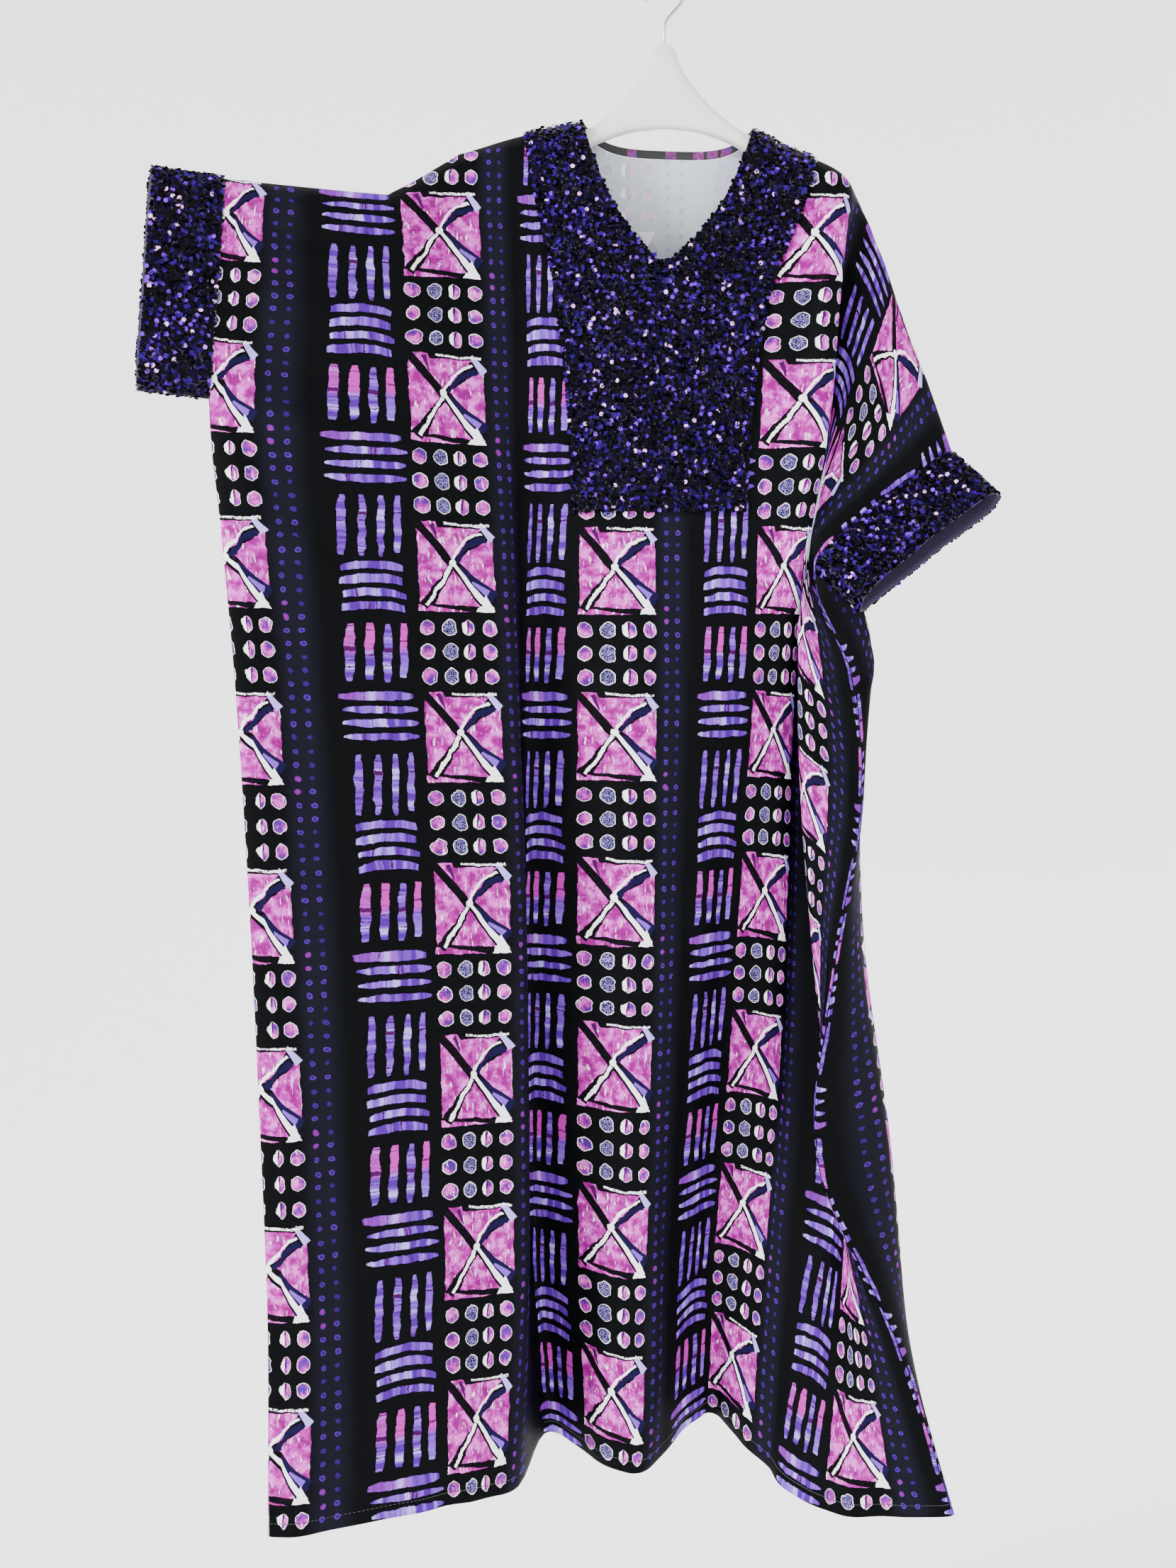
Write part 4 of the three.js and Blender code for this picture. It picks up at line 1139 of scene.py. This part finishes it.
def sleeve_ring(side_u):
    heights = row_heights(np.array([float(ARMHOLE_TOP)]))[0]
    heights = heights[heights < ARMHOLE_BOTTOM - 2 * CUFF_ROUNDING]
    u = np.full(len(heights), float(side_u))
    low = np.array([ARMHOLE_BOTTOM - CUFF_ROUNDING], float)
    front_side = cloth_point(FRONT, u, heights)
    back_side = cloth_point(BACK, u, heights)[:0:-1]
    bottom = (cloth_point(FRONT, u[:1], low) + cloth_point(BACK, u[:1], low)) / 2
    return np.concatenate([front_side, bottom, back_side])


def cuff_grid(side_u, axis):
    ring = sleeve_ring(side_u)
    along = np.roll(ring, -1, axis=0) - np.roll(ring, 1, axis=0)
    normals = np.cross(along, axis)
    normals /= np.linalg.norm(normals, axis=1, keepdims=True)
    outward = np.sign(((ring - ring.mean(axis=0)) * normals).sum(axis=1, keepdims=True))
    normals *= outward
    for _ in range(3):
        normals = (np.roll(normals, 1, axis=0) + normals + np.roll(normals, -1, axis=0)) / 3
    normals /= np.linalg.norm(normals, axis=1, keepdims=True)
    if side_u > 0:
        ring, normals = ring[::-1], normals[::-1]
    return np.concatenate([ring, ring[:1]]), np.concatenate([normals, normals[:1]])


def cuff_pieces(name, side_u, axis, seed):
    ring, normals = cuff_grid(side_u, axis)
    length = np.concatenate([[0], np.cumsum(np.linalg.norm(np.diff(ring, axis=0), axis=1))])
    out = CUFF_START + np.linspace(0, CUFF_DEPTH, CUFF_ROWS)
    wave = 1 + 0.9 * np.sin(length / 21)[:, None] * (out / CUFF_DEPTH)[None, :] ** 2
    points = ring[:, None] + out[None, :, None] * axis + normals[:, None] * wave[..., None]
    uv = np.stack(np.broadcast_arrays(length[:, None], out[None, :]), axis=-1) * MILLIMETRE
    net = grid_mesh(name + "_net", points * MILLIMETRE, uv)
    weld = net.modifiers.new("weld", "WELD")
    weld.merge_threshold = 0.00005
    net.data.materials.append(black_net)
    thicken(net, NET_THICKNESS)

    chooser = np.random.default_rng(seed)
    spots = []
    for row, reach in enumerate(np.arange(1.2, CUFF_DEPTH + 1, SEQUIN_SPACING * 0.92)):
        places = np.arange(0, length[-1], SEQUIN_SPACING) + (row % 2) * SEQUIN_SPACING / 2
        spots.extend((place, reach) for place in places)
    spots = np.array(spots) + chooser.normal(0, 0.5, (len(spots), 2))
    spots[:, 0] %= length[-1]
    spots[:, 1] = np.clip(spots[:, 1], 0.5, CUFF_DEPTH + 1.5)
    at = np.stack([np.interp(spots[:, 0], length, ring[:, k]) for k in range(3)], axis=1)
    facing = np.stack([np.interp(spots[:, 0], length, normals[:, k]) for k in range(3)], axis=1)
    bulge = 1 + 0.9 * np.sin(spots[:, 0] / 21) * (spots[:, 1] / CUFF_DEPTH) ** 2
    lift = CUFF_LIFT + bulge + chooser.uniform(-0.4, 0.5, len(spots))
    centres = at + (CUFF_START + spots[:, 1])[:, None] * axis + facing * lift[:, None]
    discs = sequin_mesh(name + "_sequins", centres * MILLIMETRE, facing, seed)
    discs.data.materials.append(violet_sequins)
    return net, discs


cuff_left, cuff_left_discs = cuff_pieces("cuff_left", -HALF_WIDTH, LEFT_SLEEVE_AXIS, 21)
cuff_right, cuff_right_discs = cuff_pieces("cuff_right", HALF_WIDTH, RIGHT_SLEEVE_AXIS, 22)

# %% [markdown]
# ## Neck binding
# The back of the neck is bound with a narrow folded strip of the same print. Its section is a flat
# loop, drawn along the neckline, with the strip's raw edges hidden inside as on a real binding.

# %% Back neck binding
BINDING_HEIGHT = 8.6
BINDING_HALF_THICKNESS = 1.2
BINDING_LOOP = 16
BINDING_COLUMNS = 72
BINDING_BLOCK = 13


def binding_piece():
    u = np.linspace(NECK_HALF_WIDTH - 1, -NECK_HALF_WIDTH + 1, BINDING_COLUMNS)
    v = back_neck(u)
    edge = cloth_point(BACK, u, v)
    normal = cloth_normals(BACK, u, v)
    normal[:, 2] = 0
    normal /= np.linalg.norm(normal, axis=1, keepdims=True)
    turn = np.linspace(0, 2 * math.pi, BINDING_LOOP + 1)
    rise = BINDING_HEIGHT / 2 * (1 - np.cos(turn))
    out = BINDING_HALF_THICKNESS * np.sign(np.sin(turn)) * np.abs(np.sin(turn)) ** 0.6
    points = edge[:, None] + normal[:, None] * out[None, :, None]
    points[..., 2] += rise[None, :] + 0.4
    uv = np.stack(np.broadcast_arrays(u[:, None], rise[None, :]), axis=-1) * MILLIMETRE
    piece = grid_mesh("neck_binding_strip", points * MILLIMETRE, uv)
    weld = piece.modifiers.new("weld", "WELD")
    weld.merge_threshold = 0.00005
    return piece


def binding_material():
    material, shader = new_material("binding_cloth", Roughness=0.55, Sheen_Weight=0.1)
    uv = cloth_uv()
    u, v = across_and_down(uv)
    x = u * METRE + (noise(uv, 300) - 0.5) * 2
    luck = chance((x / BINDING_BLOCK).floor(), 4.0)
    middle = (x.modulo(BINDING_BLOCK) - BINDING_BLOCK / 2).abs()
    edge = (5 - middle).least((luck - 0.62) * 20)
    paint = watercolour(x, v * METRE, PLUM, MAGENTA, VIOLET)
    Field.tree.links.new(blend(edge.inside(), BLACK, paint), shader.inputs["Base Color"])
    weave_bump(uv, shader, 0.4)
    return material


binding = binding_piece()
binding.data.materials.append(binding_material())
print("binding faces:", len(binding.data.polygons))

# %% [markdown]
# ## Hem stitches
# The hem is turned up once and sewn with a straight stitch, dark on dark. Each stitch is a short
# bar that lies in the cloth, made from a small cube.

# %% Hem stitches
STITCH_STEP = 3.4
STITCH_LENGTH = 0.0024
STITCH_WIDTH = 0.0005
HEM_STITCH_UP = 12


def hem_stitches(panel, name):
    u = np.arange(-HALF_WIDTH + 6, HALF_WIDTH - 5, STITCH_STEP)
    v = np.full(len(u), float(DRESS_LENGTH - HEM_STITCH_UP))
    points, normals = place_on(panel, u, v, 0.55)
    ways = np.gradient(points, axis=0)
    bm = bmesh.new()
    for point, normal, way in zip(points, normals, ways):
        along = Vector(way).normalized()
        out = Vector(normal)
        turn = Matrix((along, out.cross(along), out)).transposed().to_4x4()
        size = Matrix.Diagonal((STITCH_LENGTH, STITCH_WIDTH, STITCH_WIDTH, 1))
        bmesh.ops.create_cube(bm, size=1, matrix=Matrix.Translation(Vector(point)) @ turn @ size)
    return mesh_piece(name, bm)


def thread_material():
    material, shader = new_material("dark_thread", Roughness=0.6, Sheen_Weight=0.2)
    place = object_place()
    colour = blend(noise(place, 2000) - 0.2, (0.008, 0.008, 0.014), (0.03, 0.03, 0.045))
    Field.tree.links.new(colour, shader.inputs["Base Color"])
    return material


dark_thread = thread_material()
front_hem = hem_stitches(FRONT, "front_hem_stitches")
back_hem = hem_stitches(BACK, "back_hem_stitches")
for stitches in (front_hem, back_hem):
    stitches.data.materials.append(dark_thread)
print("stitches:", len(front_hem.data.polygons) // 6, "at the front")

# %% [markdown]
# ## Hanger and hook
# The solid part already has the hanger's form in flat facets. A copy of it is merged, its triangles
# are joined into quads, and a Subdivision Surface rounds it. The plastic is moulded, so it has a
# soft gloss and a faint unevenness. The hook is polished wire with fine drawing marks.

# %% Hanger and hook
def smooth_copy(node, name, levels):
    bm = bmesh.new()
    bm.from_mesh(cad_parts[node].data)
    bmesh.ops.remove_doubles(bm, verts=bm.verts, dist=0.00001)
    bmesh.ops.join_triangles(
        bm, faces=bm.faces, angle_face_threshold=0.6, angle_shape_threshold=1.5)
    for face in bm.faces:
        face.smooth = True
    piece = mesh_piece(name, bm)
    rounding = piece.modifiers.new("rounding", "SUBSURF")
    rounding.levels = rounding.render_levels = levels
    return piece


def moulded_plastic():
    material, shader = new_material("moulded_plastic", Roughness=0.34)
    shader.inputs["Coat Weight"].default_value = 0.15
    place = object_place()
    colour = blend(noise(place, 30), (0.70, 0.69, 0.66), (0.78, 0.77, 0.74))
    Field.tree.links.new(colour, shader.inputs["Base Color"])
    roughen(shader, noise(place, 260), 0.15, 0.0003)
    return material


def drawn_wire():
    material, shader = new_material("drawn_wire", Metallic=1.0, Roughness=0.28)
    place = object_place()
    colour = blend(noise(place, 500), (0.42, 0.43, 0.45), (0.58, 0.59, 0.60))
    Field.tree.links.new(colour, shader.inputs["Base Color"])
    return material


hanger = smooth_copy("hanger", "hanger_body", 2)
hanger.data.materials.append(moulded_plastic())
hook = smooth_copy("hanger_hook", "hook_wire", 1)
hook.data.materials.append(drawn_wire())
print("hanger faces:", len(hanger.data.polygons), "hook faces:", len(hook.data.polygons))

# %% [markdown]
# ## What each piece stands for
# Every piece rides on the one body and says which solid it stands for, if any, and that solid is
# hidden.

PIECES = [
    (front, "print_cloth", "front_panel"),
    (back, "print_cloth", "back_panel"),
    (yoke, "sequin_cloth", "sequin_yoke"),
    (yoke_discs, "sequin_cloth", None),
    (cuff_left, "sequin_cloth", "cuff_left"),
    (cuff_left_discs, "sequin_cloth", None),
    (cuff_right, "sequin_cloth", "cuff_right"),
    (cuff_right_discs, "sequin_cloth", None),
    (binding, "binding_cloth", "back_neck_binding"),
    (front_hem, "print_cloth", None),
    (back_hem, "print_cloth", None),
    (hanger, "hanger_plastic", "hanger"),
    (hook, "hook_steel", "hanger_hook"),
]
for piece, slot, node in PIECES:
    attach(piece, "root")
    if node:
        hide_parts(node)

print("pieces:", len(PIECES))

# %% [markdown]
# ## Studio
# The dress hangs in a plain pale studio. The floor curves up into the walls, as a photographer's
# backdrop does, so there is no line behind the dress from any side. It is made by spinning one
# profile. Four large soft lights give the even light of the photograph, with the strongest at the
# front left, so the folds show. The paper glows a little, so that it is nearly as bright as the
# photograph's.

# %% Studio
FLOOR_LEVEL = -1.75
MIDDLE = (0, 0, -0.8)
STUDIO_PROFILE = [(0, 0), (2.2, 0), (3.4, 0.1), (4.3, 0.5), (5.0, 1.3), (5.4, 2.6), (5.5, 5.0)]


def studio_floor():
    bm = bmesh.new()
    verts = [bm.verts.new((x, 0, FLOOR_LEVEL + z)) for x, z in STUDIO_PROFILE]
    edges = [bm.edges.new(pair) for pair in zip(verts, verts[1:])]
    bmesh.ops.spin(
        bm, geom=[*verts, *edges], axis=(0, 0, 1), cent=(0, 0, 0), angle=2 * math.pi,
        steps=48, use_merge=True)
    bmesh.ops.remove_doubles(bm, verts=bm.verts, dist=0.0001)
    bmesh.ops.recalc_face_normals(bm, faces=bm.faces)
    for face in bm.faces:
        face.smooth = True
    floor = mesh_piece("studio", bm)
    curve = floor.modifiers.new("curve", "SUBSURF")
    curve.levels = curve.render_levels = 2
    return floor


def soft_light(name, place, size, power):
    data = bpy.data.lights.new(name, "AREA")
    data.shape = "SQUARE"
    data.size = size
    data.energy = power
    lamp = bpy.data.objects.new(name, data)
    lamp.location = place
    lamp.rotation_euler = (Vector(MIDDLE) - Vector(place)).to_track_quat("-Z", "Y").to_euler()
    bpy.context.collection.objects.link(lamp)


studio = studio_floor()
paper, paper_shader = new_material("studio_paper", Roughness=0.9)
paper_shader.inputs["Base Color"].default_value = (0.96, 0.96, 0.96, 1)
paper_shader.inputs["Emission Color"].default_value = (1, 1, 1, 1)
paper_shader.inputs["Emission Strength"].default_value = 0.7
studio.data.materials.append(paper)
soft_light("key", (-3.0, -1.9, 0.9), 0.9, 210)
soft_light("fill", (2.4, -3.0, 0.0), 2.4, 18)
soft_light("top", (0.4, 0.8, 3.0), 2.6, 110)
soft_light("rear", (0.8, 3.6, 1.0), 2.4, 70)
world = bpy.data.worlds.new("studio_air")
world.use_nodes = True
world.node_tree.nodes["Background"].inputs["Color"].default_value = (1, 1, 1, 1)
world.node_tree.nodes["Background"].inputs["Strength"].default_value = 0.35
bpy.context.scene.world = world
print("lights:", len(bpy.data.lights))
